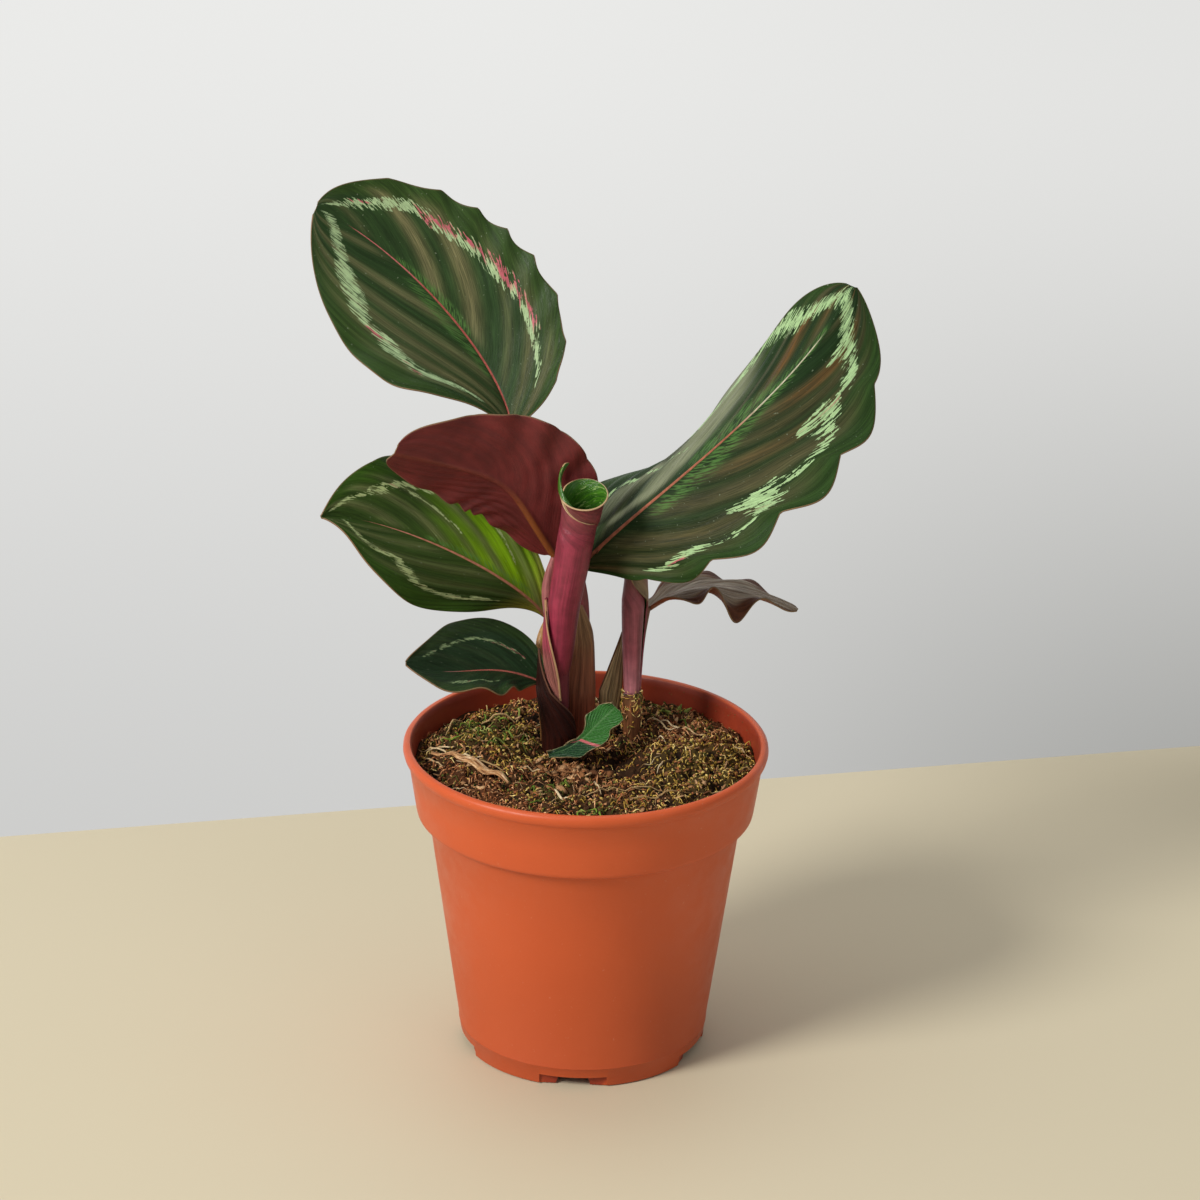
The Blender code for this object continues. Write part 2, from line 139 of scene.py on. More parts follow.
def makeSheet(name, grid, shape, thick, materials, slot, *nodes):
    # a thin sheet of grid points: shape turns each x and y, from -1 to 1, into a place in mm, the marks that the
    # material reads, and the share of the thickness there, or None for all of it
    bm = bmesh.new()
    bmesh.ops.create_grid(bm, x_segments=grid[0], y_segments=grid[1], size=1.0)
    marks, share = shape(0.0, 0.0)[1:]
    layer = {key: bm.verts.layers.float.new(key) for key in marks}
    weights = share is not None and bm.verts.layers.deform.verify()
    for vert in bm.verts:
        place, marks, share = shape(vert.co.x, vert.co.y)
        for key, value in marks.items():
            vert[layer[key]] = value
        if share is not None:
            vert[weights][0] = share
        vert.co = place * mm
    piece = addPiece(name, toMesh(bm, name), *materials)
    if share is not None:
        piece.vertex_groups.new(name="thickness")
    thicken(piece, thick)
    piece = settle(piece)
    piece.data.shade_smooth()
    mount(piece, slot, *nodes)


# small tools for materials

inHand = {}  # the material being made, its node tree and its shader


def newMaterial(name, roughness, gloss):
    material = bpy.data.materials.new(name)
    material.use_nodes = True
    shader = material.node_tree.nodes["Principled BSDF"]
    shader.inputs["Roughness"].default_value = roughness
    shader.inputs["Specular IOR Level"].default_value = gloss
    inHand.update(material=material, tree=material.node_tree, shader=shader)


def addNode(kind, settings, **inputs):  # an input is named as on the node, or i and its number
    node = inHand["tree"].nodes.new("ShaderNode" + kind)
    for key, value in settings.items():
        setattr(node, key, value)
    for key, value in inputs.items():
        socket = node.inputs[int(key[1:])] if key[1:].isdigit() else node.inputs[key.replace("_", " ")]
        if isinstance(value, bpy.types.NodeSocket):
            inHand["tree"].links.new(value, socket)
        else:
            socket.default_value = value
    return node


def maths(operation, a, b=0.0):
    return addNode("Math", {"operation": operation}, i0=a, i1=b).outputs[0]


def times(a, b):
    return maths("MULTIPLY", a, b)


def plus(a, b):
    return maths("ADD", a, b)


def minus(a, b):
    return maths("SUBTRACT", a, b)


def unsigned(a):
    return maths("ABSOLUTE", a)


def spread(value, low, high, to=(0.0, 1.0)):
    return addNode("MapRange", {"interpolation_type": "SMOOTHSTEP"}, Value=value, From_Min=low, From_Max=high,
                   To_Min=to[0], To_Max=to[1]).outputs[0]


def colour(factor, a, b, blend="MIX"):
    a, b = ((*c, 1.0) if isinstance(c, tuple) else c for c in (a, b))
    return addNode("Mix", {"data_type": "RGBA", "blend_type": blend}, i0=factor, i6=a, i7=b).outputs[2]


def mark(name):
    return addNode("Attribute", {"attribute_name": name}).outputs["Fac"]


def objectPlace():
    return addNode("TexCoord", {}).outputs["Object"]


def objectHeight():
    return addNode("SeparateXYZ", {}, Vector=objectPlace()).outputs[2]


def alongNoise(a, b, aScale, bScale, detail=3.0):  # noise drawn out along a piece's own lines
    place = addNode("CombineXYZ", {}, X=times(a, aScale), Y=times(b, bScale)).outputs[0]
    return addNode("TexNoise", {"noise_dimensions": "2D"}, Vector=place, Scale=1.0, Detail=detail,
                   Roughness=0.6).outputs["Fac"]


def placeNoise(scale, detail=3.0, rough=0.6):
    return addNode("TexNoise", {}, Vector=objectPlace(), Scale=scale, Detail=detail, Roughness=rough).outputs["Fac"]


def brighten(base, noiseValue, low, high):  # lifts and lowers a colour by a noise
    factor = spread(noiseValue, 0.3, 0.7, (low, high))
    grey = addNode("CombineColor", {}, Red=factor, Green=factor, Blue=factor).outputs[0]
    return colour(1.0, base, grey, "MULTIPLY")


def finishMaterial(base, bump=None, sheen=None):
    # the bump is a height, a depth in metres and a strength, and the sheen a noise and the roughness at its ends
    tree, shader = inHand["tree"], inHand["shader"]
    tree.links.new(base, shader.inputs["Base Color"])
    if sheen:
        tree.links.new(spread(sheen[0], 0.3, 0.7, sheen[1:]), shader.inputs["Roughness"])
    if bump:
        bumped = addNode("Bump", {}, Height=bump[0], Distance=bump[1], Strength=bump[2])
        tree.links.new(bumped.outputs[0], shader.inputs["Normal"])
    return inHand["material"]


# camera and light

camera = addObject("camera", bpy.data.cameras.new("camera"))
scene.camera = camera
pitch, roll = math.radians(22.258), math.radians(0.803)
ahead = Vector((0, math.cos(pitch), -math.sin(pitch)))
right = Vector((1, 0, 0))
above = right.cross(ahead)
turnedRight = math.cos(roll) * right + math.sin(roll) * above
turnedUp = math.cos(roll) * above - math.sin(roll) * right
stance = Matrix((turnedRight, turnedUp, -ahead)).transposed().to_4x4()
stance.translation = Vector((0.00357, -1.2, 0.6319))
camera.matrix_world = stance
camera.data.sensor_width = 36
camera.data.lens = 133.4
camera.data.clip_start = 0.01


def softLight(name, place, aim, size, power, tint):  # the aim is a height on the plant's axis
    light = bpy.data.lights.new(name, "AREA")
    light.shape = "DISK"
    light.size = size
    light.energy = power
    light.color = tint
    lamp = addObject(name, light)
    lamp.location = place
    lamp.rotation_mode = "QUATERNION"
    lamp.rotation_quaternion = (Vector((0, 0, aim)) - Vector(place)).to_track_quat("-Z", "Y")


softLight("keyLight", (-1.8, -1.35, 1.7), 0.12, 0.9, 68, (1.0, 0.985, 0.955))
softLight("fillLight", (0.9, -1.1, 0.7), 0.12, 0.9, 1.2, (0.97, 0.98, 1.0))
softLight("topLight", (-0.1, 0.25, 1.3), 0.1, 0.8, 3, (1.0, 1.0, 1.0))


def makeStudio():
    world = bpy.data.worlds.new("studio")
    world.use_nodes = True
    inHand["tree"] = world.node_tree
    side, depth, height = addNode("SeparateXYZ", {}, Vector=addNode("TexCoord", {}).outputs["Generated"]).outputs
    left = colour(spread(height, -0.46, -0.24), (0.6, 0.6, 0.59), (0.83, 0.83, 0.815))
    farRight = colour(spread(height, -0.46, -0.26), (0.31, 0.31, 0.295), (0.765, 0.765, 0.75))
    wall = colour(spread(side, -0.05, 0.16), left, farRight)
    dim = times(spread(height, -0.24, -0.05), spread(depth, 0.85, 0.45))
    wall = colour(dim, wall, (0.34, 0.34, 0.345))  # dim where the wall isn't in the picture
    world.node_tree.links.new(wall, world.node_tree.nodes["Background"].inputs["Color"])
    scene.world = world


def makeTable():  # its far edge crosses the picture at a slant behind the pot
    reach, slant, edge = 1.6, math.radians(12.13), 0.1722
    bm = bmesh.new()
    bmesh.ops.create_grid(bm, x_segments=8, y_segments=8, size=reach)
    bmesh.ops.translate(bm, verts=bm.verts, vec=(0, -reach, 0))
    bmesh.ops.rotate(bm, verts=bm.verts, cent=(0, 0, 0), matrix=Matrix.Rotation(slant, 3, "Z"))
    bmesh.ops.translate(bm, verts=bm.verts, vec=(0, edge, -0.0003))
    mesh = toMesh(bm, "tableTop")
    newMaterial("paintedBoard", 0.6, 0.3)
    board = finishMaterial(colour(placeNoise(3.0, 2.0), (0.6, 0.53, 0.37), (0.64, 0.57, 0.41)))
    floor = addPiece("tableTop", mesh, board)


makeStudio()
makeTable()
print("stage ready")


# pot

pot = dict(height=95.8, rim=54.0, collarBottom=74.3, collar=50.2, body=46.6, base=36.6, wall=1.3, floor=3.4,
           floorThick=1.5, pad=20.2, steps=200, notches=5, notchStart=-4.0, notchWidth=20.0, notchHeight=3.1,
           openingWidth=8.3, drain=3.6, drainRing=29.0, seam=6.2)
potSlope = (pot["body"] - pot["base"]) / (pot["collarBottom"] - 1.0)


def potLine():
    top, rim, collar, low = pot["height"], pot["rim"], pot["collar"], pot["collarBottom"]
    base, body, wall, seam = pot["base"], pot["body"], pot["wall"], pot["seam"]
    pad, floor, under = pot["pad"], pot["floor"], pot["floorThick"]
    inner = base - wall
    seamRadius = base + potSlope * (seam - 1.0)
    return [
        (base - 0.4, 0.0), (base - 0.1, 0.1), (base, 0.4), (seamRadius - 0.05, seam - 0.35),
        (seamRadius + 0.12, seam - 0.15), (seamRadius + 0.12, seam + 0.1), (seamRadius, seam + 0.3),
        (base + potSlope * 36, 37.0), (body, low - 0.3), (body + 0.3, low), (collar - 1.3, low),
        (collar - 0.7, low + 0.12), (collar - 0.25, low + 0.55), (collar, low + 1.7), (collar + 1.1, low + 9.0),
        (rim - 1.5, top - 4.3), (rim - 0.9, top - 3.75), (rim - 0.3, top - 3.0), (rim, top - 1.9),
        (rim - 0.1, top - 0.9), (rim - 0.6, top - 0.25), (rim - 1.3, top), (rim - 2.0, top - 0.1),
        (rim - 2.5, top - 0.7), (rim - 2.8, top - 2.8), (collar - wall, low + 2.2), (collar - 2.0, low + 1.0),
        (body - 1.1, low - 0.3), (body - wall - 0.2, low - 1.8), (inner + potSlope * 5, 6.0),
        (inner - 0.6, floor + under), (pad + 4.6, floor + under), (pad + 1.2, under), (0.0, under), (0.0, 0.0),
        (pad - 0.4, 0.0), (pad, 0.15), (pad + 3.2, floor - 0.2), (pad + 3.7, floor), (base - 4.6, floor),
        (base - 4.1, floor - 0.4), (base - 3.6, 0.3), (base - 3.3, 0.0)]


def notchAngles():
    return [pot["notchStart"] + i * 360.0 / pot["notches"] for i in range(pot["notches"])]


def footBoxes(bm, width, near, far, high, widen):
    for angle in notchAngles():
        made = bmesh.ops.create_cube(bm, size=1.0)["verts"]
        bmesh.ops.scale(bm, verts=made, vec=(width * mm, (far - near) * mm, 2 * high * mm))
        bmesh.ops.translate(bm, verts=made, vec=(0, -(near + far) / 2 * mm, 0))
        for vert in made:
            if vert.co.z < 0:
                vert.co.x *= widen
        bmesh.ops.rotate(bm, verts=made, cent=(0, 0, 0), matrix=Matrix.Rotation(math.radians(angle), 3, "Z"))


def footSteps(bm):  # wide shallow steps in the foot
    footBoxes(bm, pot["notchWidth"], pot["base"] - 1.9, pot["base"] + 5, pot["notchHeight"], 1.0)


def footOpenings(bm):  # narrow openings behind them
    footBoxes(bm, pot["openingWidth"], pot["base"] - 9, pot["base"] + 4, pot["notchHeight"] - 0.35, 1.5)


def drainHoles(bm):
    for angle in notchAngles():
        made = bmesh.ops.create_cone(bm, cap_ends=True, segments=32, depth=5 * mm, radius1=pot["drain"] * mm,
                                     radius2=pot["drain"] * mm)["verts"]
        bmesh.ops.translate(bm, verts=made, vec=fromFront(angle, pot["drainRing"], 4.0) * mm)


def cutBy(piece, build):
    bm = bmesh.new()
    build(bm)
    bmesh.ops.recalc_face_normals(bm, faces=bm.faces[:])
    cut = piece.modifiers.new(build.__name__, "BOOLEAN")
    cut.operation = "DIFFERENCE"
    cut.solver = "EXACT"
    cut.object = addObject(build.__name__, toMesh(bm, build.__name__))
    return cut.object


def terracottaPlastic():
    newMaterial("terracottaPlastic", 0.42, 0.35)
    base = colour(placeNoise(60.0, 4.0), (0.56, 0.088, 0.022), (0.61, 0.105, 0.028))
    dust = spread(placeNoise(900.0, 2.0), 0.68, 0.8)
    base = colour(times(dust, 0.25), base, (0.66, 0.36, 0.22))
    # painted shade: the plastic is darkened towards the foot, where less light reaches it
    base = brighten(base, spread(objectHeight(), -0.045, 0.12), 0.8, 1.0)
    # painted shade: the inner wall below the lip takes a dark colour for the shade inside the pot
    deep = colour(placeNoise(220.0, 4.0), (0.23, 0.026, 0.01), (0.33, 0.045, 0.016))
    base = colour(mark("inside"), base, deep)
    lines = addNode("TexWave", {"bands_direction": "Z"}, Vector=objectPlace(), Scale=700.0, Distortion=1.5,
                    Detail=2.0).outputs["Fac"]
    base = brighten(base, lines, 0.985, 1.015)
    return finishMaterial(base, (placeNoise(1500.0, 2.0), 0.00004, 0.6), (placeNoise(120.0), 0.36, 0.5))


def makePot():
    bm = bmesh.new()
    verts = [bm.verts.new((r * mm, 0.0, z * mm)) for r, z in potLine()]
    edges = [bm.edges.new(pair) for pair in zip(verts, verts[1:])]
    edges.append(bm.edges.new((verts[-1], verts[0])))
    bmesh.ops.spin(bm, geom=verts + edges, cent=(0, 0, 0), axis=(0, 0, 1), angle=math.tau, steps=pot["steps"],
                   use_merge=True)
    bmesh.ops.remove_doubles(bm, verts=bm.verts[:], dist=1e-6)
    bmesh.ops.recalc_face_normals(bm, faces=bm.faces[:])
    piece = addPiece("potShell", toMesh(bm, "potShell"), terracottaPlastic())
    cutters = [cutBy(piece, build) for build in (footSteps, footOpenings, drainHoles)]
    piece = settle(piece)
    for tool in cutters:
        bpy.data.objects.remove(tool)
    mesh = piece.data
    # the inside mark places the painted shade on the inner wall
    inside = mesh.attributes.new("inside", "FLOAT", "POINT")
    for i, vert in enumerate(mesh.vertices):
        r, z = math.hypot(vert.co.x, vert.co.y) / mm, vert.co.z / mm
        if z < pot["collarBottom"]:
            outer = pot["base"] + (pot["body"] - pot["base"]) * z / pot["collarBottom"]
        else:
            outer = pot["collar"] + (pot["rim"] - 1.5 - pot["collar"]) * (z - pot["collarBottom"]) / 18
        inside.data[i].value = step(outer - r, 0.6, 1.0) * step(95.7 - z, 0.0, 0.6)
    mesh.shade_smooth()
    mesh.set_sharp_from_angle(angle=math.radians(40))
    mount(piece, "terracotta_plastic", "pot")


makePot()
print("pot ready")


# soil, moss and straw

# the heap's height and radius, how far straws reach, and how many of each small thing lie on it
soil = dict(level=89.5, edge=50.6, reach=50.2, grid=236, seed=7, crumbs=1000, flakes=900, tufts=5600, grains=5200,
            blades=46, straws=40, collar=150, bark=90, dust=34, batch=150)


def closeness(x, y, cx, cy, size):  # 1 at a patch's centre, falling off over its size
    return math.exp(-((x - cx) ** 2 + (y - cy) ** 2) / size ** 2)


def soilHeight(x, y):
    def mounds(*rows):
        return sum(height * closeness(x, y, cx, cy, size) for height, cx, cy, size in rows)
    rise = mounds((4.8, -30, -2, 15), (5.0, 29, -3, 14), (2.6, 0, -34, 18))
    rise += mounds((2.0, 18, 22, 12), (-3.5, 10, -7, 8), (-1.5, -6, 30, 16))
    rise += 0.7 * math.sin(0.31 * x + 1.0) * math.sin(0.37 * y + 0.4)
    rise += 0.5 * math.sin(0.52 * x - 0.45 * y)
    return soil["level"] + rise - 1.0 * max(0.0, (math.hypot(x, y) - 40.0) / 10.0)


def roughHeight(x, y):  # the heap with its crumbs
    spot = Vector((x, y, 0.0))
    lumps = noise.fractal(spot * 0.17, 1.0, 2.0, 3) * 2.1
    crumbs = noise.noise(spot * 0.55) * 0.95 + noise.noise(spot * 1.25 + Vector((9, 4, 2))) * 0.5
    return soilHeight(x, y) + (lumps + crumbs) * step(51.0 - math.hypot(x, y), 0.0, 3.0)


def soilZones(x, y):  # shares of green moss, golden moss, rusty bark and bare dark soil
    def patches(*rows):
        return sum(share * closeness(x, y, cx, cy, size) for share, cx, cy, size in rows)
    wobble = noise.noise(Vector((x, y, 5.0)) * 0.16) * 0.55
    green = patches((1, -32, 13, 16), (0.8, -10, -28, 10), (0.7, 3, -46, 8), (1, 26, 34, 9)) + wobble - 0.15
    gold = patches((1.3, 35, -12, 16), (1, 42, 6, 10), (0.6, -22, 2, 11), (0.35, -30, 14, 14)) - wobble
    rust = patches((1, -37, -26, 12), (1, -24, -36, 10), (1, 35, 27, 12), (0.9, -4, -13, 8), (0.7, 30, 9, 8)) + 0.22
    bare = patches((1, 15, -9, 9), (0.8, 7, -1, 8), (0.5, -48, -4, 7))
    return [min(max(v, 0.0), 1.0) for v in (green, gold, rust, bare)]


def soilSpot(rng, reach):  # a random spot on the heap
    radius, angle = soil["edge"] * math.sqrt(rng.random()) * reach, rng.random() * math.tau
    return radius * math.cos(angle), radius * math.sin(angle)


def hidden(x, y, low, high, bareShare, sunkShare):  # how often nothing lies at this spot
    sunk = step(soilHeight(x, y) - roughHeight(x, y), low, high)
    return max(soilZones(x, y)[3] * bareShare, sunk * sunkShare)


def compostMaterial():
    newMaterial("mossyCompost", 0.95, 0.15)
    crumb = placeNoise(900.0, 4.0, 0.7)
    base = colour(mark("mossy"), (0.036, 0.016, 0.007), (0.05, 0.04, 0.009))
    base = colour(mark("rusty"), base, (0.085, 0.03, 0.011))
    base = colour(spread(crumb, 0.54, 0.74), base, (0.2, 0.11, 0.04))
    # painted shade: the compost darkens in its hollows and on the skirt down to the pot wall
    base = colour(spread(mark("hollowShade"), 0.1, 0.62), base, (0.016, 0.008, 0.004))
    base = colour(times(mark("bare"), 0.75), base, (0.03, 0.013, 0.006))
    return finishMaterial(base, (crumb, 0.0006, 0.9))


def makeSoil():
    bm = bmesh.new()
    bmesh.ops.create_grid(bm, x_segments=soil["grid"], y_segments=soil["grid"], size=1.0)
    hollowShade, mossy, rusty, bare = (bm.verts.layers.float.new(key) for key in ("hollowShade", "mossy", "rusty", "bare"))
    rimLoop = [e for e in bm.edges if e.is_boundary]
    for vert in bm.verts:  # the square grid becomes a disc
        x, y = vert.co.x, vert.co.y
        u = x * math.sqrt(1 - y * y / 2) * soil["edge"]
        v = y * math.sqrt(1 - x * x / 2) * soil["edge"]
        z = roughHeight(u, v)
        # how far the spot lies below the smooth heap sets its painted shade
        vert[hollowShade] = min(max((soilHeight(u, v) - z) * 0.45 + 0.2, 0.0), 1.0)
        green, gold, rust, dark = soilZones(u, v)
        vert[mossy], vert[rusty], vert[bare] = min(green + gold, 1.0), rust, dark
        vert.co = Vector((u, v, z)) * mm
    low = pot["base"] - pot["wall"] - 0.5
    for radius, z in ((pot["collar"] - pot["wall"] - 0.6, pot["collarBottom"] + 2.4),
                      (pot["body"] - 1.7, pot["collarBottom"] + 0.2), (low + potSlope * 5, 6.2), (low - 0.2, 5.3)):
        grown = bmesh.ops.extrude_edge_only(bm, edges=rimLoop)["geom"]
        rimLoop = [g for g in grown if isinstance(g, bmesh.types.BMEdge) and g.is_boundary]
        for vert in [g for g in grown if isinstance(g, bmesh.types.BMVert)]:
            flat = Vector((vert.co.x, vert.co.y, 0)).normalized() * radius
            vert.co = Vector((flat.x, flat.y, z)) * mm
            vert[hollowShade] = 0.3
    bmesh.ops.holes_fill(bm, edges=rimLoop, sides=0)
    bmesh.ops.recalc_face_normals(bm, faces=bm.faces[:])
    mountSmooth("soilHeap", bm, "mossy_compost", compostMaterial(), "soil")


def toned(name, low, middle, high, roughness):  # one colour for each fibre or crumb, by its own tone
    newMaterial(name, roughness, 0.2)
    tone = mark("tone")
    base = colour(spread(tone, 0.0, 0.5), low, middle)
    base = colour(spread(tone, 0.5, 1.0), base, high)
    base = brighten(base, placeNoise(1600.0, 2.0), 0.75, 1.25)
    return finishMaterial(base, (placeNoise(2500.0, 2.0), 0.0001, 0.6))


def onHeap(x, y, lift):
    return Vector((x, y, roughHeight(x, y) + lift))


def lumpMesh():
    bm = bmesh.new()
    return bm, bm.verts.layers.float.new("tone")


def lump(bm, tone, rng, place, size, shape, shade):
    turn = Matrix.Rotation(rng.random() * 6.3, 4, "Z") @ Matrix.Rotation(rng.uniform(-0.9, 0.9), 4, "X") @ \
        Matrix.Rotation(rng.uniform(-0.7, 0.7), 4, "Y")
    centre = place * mm
    pose = Matrix.Translation(centre) @ turn @ Matrix.Diagonal((*shape, 1.0))
    for vert in bmesh.ops.create_icosphere(bm, subdivisions=1, radius=size * mm, matrix=pose)["verts"]:
        vert.co = centre + (vert.co - centre) * (1 + 0.6 * noise.noise(vert.co * 1400))
        vert[tone] = shade


def makeCrumbs():
    rng = random.Random(soil["seed"])
    bm, tone = lumpMesh()
    for i in range(soil["crumbs"]):
        x, y = soilSpot(rng, 0.975)
        size = rng.choice((0.35, 0.5, 0.65, 0.8)) * rng.uniform(0.8, 1.2)
        shape = (1.0, rng.uniform(0.6, 1.1), rng.uniform(0.5, 0.9))
        lump(bm, tone, rng, onHeap(x, y, size * 0.2), size, shape, rng.random())
    for i in range(soil["dust"]):  # pale dust on the inner wall of the pot
        angle, z = rng.uniform(105, 172), rng.uniform(91.5, 94.6)
        wallRadius = 49.0 + (z - 76.5) * 0.134
        lump(bm, tone, rng, fromFront(angle, wallRadius, z), rng.uniform(0.12, 0.26), (1, 1, 1), 1.0)
    mountSmooth("compostCrumbs", bm, "mossy_compost",
                toned("compostCrumb", (0.02, 0.01, 0.004), (0.085, 0.034, 0.012), (0.2, 0.095, 0.035), 0.9))


def makeFlakes():  # thin bits of bark and dead moss leaf
    rng = random.Random(soil["seed"] + 4)
    bm, tone = lumpMesh()
    for i in range(soil["flakes"]):
        x, y = soilSpot(rng, 0.94)
        if rng.random() > 0.25 + 0.75 * soilZones(x, y)[2]:
            continue
        size = rng.uniform(0.9, 2.1)
        lump(bm, tone, rng, onHeap(x, y, size * 0.25), size, (1.0, rng.uniform(0.25, 0.5), 0.12), rng.random())
    for i in range(soil["bark"]):  # crumpled bark under the seedling
        x, y = rng.gauss(-4, 5), rng.gauss(-12.5, 2.6)
        size = rng.uniform(1.0, 2.2)
        lump(bm, tone, rng, onHeap(x, y, rng.uniform(0.3, 1.3)), size, (1.0, rng.uniform(0.4, 0.75), 0.13),
             min(max(rng.gauss(0.5, 0.25), 0), 1))
    mountSmooth("barkFlakes", bm, "mossy_compost",
                toned("barkFlake", (0.085, 0.03, 0.011), (0.27, 0.115, 0.042), (0.58, 0.36, 0.18), 0.85))


strip = dict(start=Vector((-45.5, -2.5, 0)), end=Vector((-22.5, -21.0, 0)), side=Vector((0.63, 0.78, 0)), thick=0.5,
             half=[(0.0, 0.2), (0.25, 0.7), (0.5, 1.5), (0.8, 1.6), (0.93, 0.8), (1.0, 0.2)], grid=(60, 14))


def stripShape(x, y):
    u = x * 0.5 + 0.5
    half = readTable(strip["half"], u)
    spot = strip["start"].lerp(strip["end"], u) + strip["side"] * (half * y + 0.5 * math.sin(9 * u))
    ridge = 0.22 * noise.noise(Vector((u * 3, y * 5, 1.0))) - 0.5 * y * y
    spot.z = soilHeight(spot.x, spot.y) + 1.5 + 1.0 * math.sin(math.pi * u) + ridge
    return spot, dict(tone=0.5 + 1.1 * noise.noise(Vector((u * 9, y * 5, 4.0))) + 0.15 * y), None


def makeBarkStrip():  # the long pale splinter at the front left
    look = toned("paleBark", (0.2, 0.075, 0.028), (0.52, 0.28, 0.12), (0.78, 0.55, 0.33), 0.8)
    makeSheet("barkStrip", strip["grid"], stripShape, strip["thick"], [look] * 3, "mossy_compost")


def fibrePiece(name, fibres, sides, material, slot, *nodes):
    # a fibre is its route, its width or widths, and its tone: every route has the same count of points, so each
    # fibre's share of the mesh is known
    curve = bpy.data.curves.new(name, "CURVE")
    curve.dimensions = "3D"
    curve.bevel_depth = mm
    curve.bevel_resolution = sides
    curve.use_fill_caps = True
    for route, width, tone in fibres:
        spline = curve.splines.new("POLY")
        spline.points.add(len(route) - 1)
        for i, (point, place) in enumerate(zip(spline.points, route)):
            point.co = (*(place * mm), 1.0)
            taper = 1 - 0.75 * abs(2 * i / (len(route) - 1) - 1) ** 2
            point.radius = width[i] if isinstance(width, list) else width * taper
    piece = settle(addObject(name, curve))
    mesh = piece.data
    mesh.materials.clear()
    mesh.materials.append(material)
    each = len(mesh.vertices) // len(fibres)
    tones = mesh.attributes.new("tone", "FLOAT", "POINT").data
    for i in range(len(mesh.vertices)):
        tones[i].value = fibres[min(i // each, len(fibres) - 1)][2]
    mesh.shade_smooth()
    mount(piece, slot, *nodes)


mossLooks = {
    "mossBrown": ((0.06, 0.018, 0.006), (0.42, 0.15, 0.052), (0.8, 0.44, 0.21)),
    "mossGold": ((0.16, 0.09, 0.012), (0.56, 0.35, 0.06), (0.88, 0.68, 0.27)),
    "mossGreen": ((0.012, 0.016, 0.002), (0.06, 0.072, 0.009), (0.27, 0.29, 0.07)),
    "mossBlades": ((0.06, 0.1, 0.01), (0.17, 0.26, 0.03), (0.42, 0.46, 0.13))}


rightStem = Vector((13.5, 14.8, 0))
# the green sprig behind the right stem: x, y, how far each blade leans and how tall it is
sprig = ((27.5, 34, 1.2, 5.6), (28.6, 35, -0.8, 4.2), (26.4, 33.4, -2.6, 3.6), (29.4, 34.6, 2.4, 3.4))


def makeMoss():
    rng = random.Random(soil["seed"] + 1)
    kinds = {name: [] for name in mossLooks}
    for i in range(soil["tufts"]):
        x, y = soilSpot(rng, 0.985)
        green, gold, rust, bare = soilZones(x, y)
        if rng.random() < hidden(x, y, 0.2, 1.1, 0.85, 0.85):
            continue
        heading = rng.random() * math.tau
        length = rng.uniform(0.8, 2.0 if gold > 0.5 or rng.random() < 0.6 else 3.8)
        bend, lift = rng.uniform(-1.2, 1.2), rng.uniform(0.1, 1.5)
        route = []
        for t in quarters:
            height = roughHeight(x, y) - 0.15 + lift * math.sin(math.pi * min(t * 1.1, 1.0)) * length * 0.35
            if math.hypot(x, y) > soil["edge"]:
                x, y = x * soil["edge"] / math.hypot(x, y), y * soil["edge"] / math.hypot(x, y)
            route.append(Vector((x, y, height)))
            x += math.cos(heading + bend * t) * length / 4
            y += math.sin(heading + bend * t) * length / 4
        kind = rng.choices(("mossGreen", "mossGold", "mossBrown"), (green + 0.06, gold * 1.2 + 0.14, rust + 0.10))[0]
        kinds[kind].append((route, rng.uniform(0.10, 0.24), rng.random()))
    for i in range(soil["collar"]):  # the collar of moss round the right stem
        angle, z = rng.uniform(0, 360), rng.uniform(100.5, 106.3) if i % 4 else rng.uniform(94.0, 101.0)
        bend, drop = rng.uniform(-40, 40), rng.uniform(-0.8, 2.6)
        route = [rightStem + fromFront(angle + bend * t, 2.85 + 1.4 * t * (1 - t), z - drop * t) for t in quarters]
        kind = rng.choice(("mossGold", "mossGreen", "mossBrown", "mossGold"))
        kinds[kind].append((route, rng.uniform(0.10, 0.22), rng.uniform(0.4, 1.0)))
    blades = kinds["mossBlades"]
    while len(blades) < soil["blades"]:  # bright single blades in the green moss
        x, y = rng.uniform(-46, 34), rng.uniform(-46, 40)
        if math.hypot(x, y) > 46 or rng.random() > soilZones(x, y)[0]:
            continue
        heading, length, lift = rng.random() * math.tau, rng.uniform(2.5, 5.0), rng.uniform(0.8, 2.0)
        route = [Vector((x + math.cos(heading + t) * length * t, y + math.sin(heading + t) * length * t, 0))
                 for t in quarters]
        for t, spot in zip(quarters, route):
            spot.z = roughHeight(spot.x, spot.y) + 0.2 + lift * math.sin(2.4 * t)
        blades.append((route, rng.uniform(0.22, 0.38), rng.random()))
    for x, y, lean, tall in sprig:
        low = roughHeight(x, y) - 0.6
        blades.append(([Vector((x + lean * t * t, y + 0.5 * math.sin(4 * t), low + tall * t)) for t in quarters],
                       0.62, 0.75))
    for name, fibres in kinds.items():
        fibrePiece(name, fibres, 0, toned(name, *mossLooks[name], 0.85), "mossy_compost")


grainLooks = {
    "mossGrainsBrown": ((0.05, 0.015, 0.005), (0.3, 0.1, 0.035), (0.62, 0.31, 0.13)),
    "mossGrainsGold": ((0.1, 0.055, 0.008), (0.36, 0.23, 0.036), (0.7, 0.52, 0.16)),
    "mossGrainsGreen": ((0.01, 0.014, 0.002), (0.052, 0.064, 0.008), (0.2, 0.23, 0.045))}


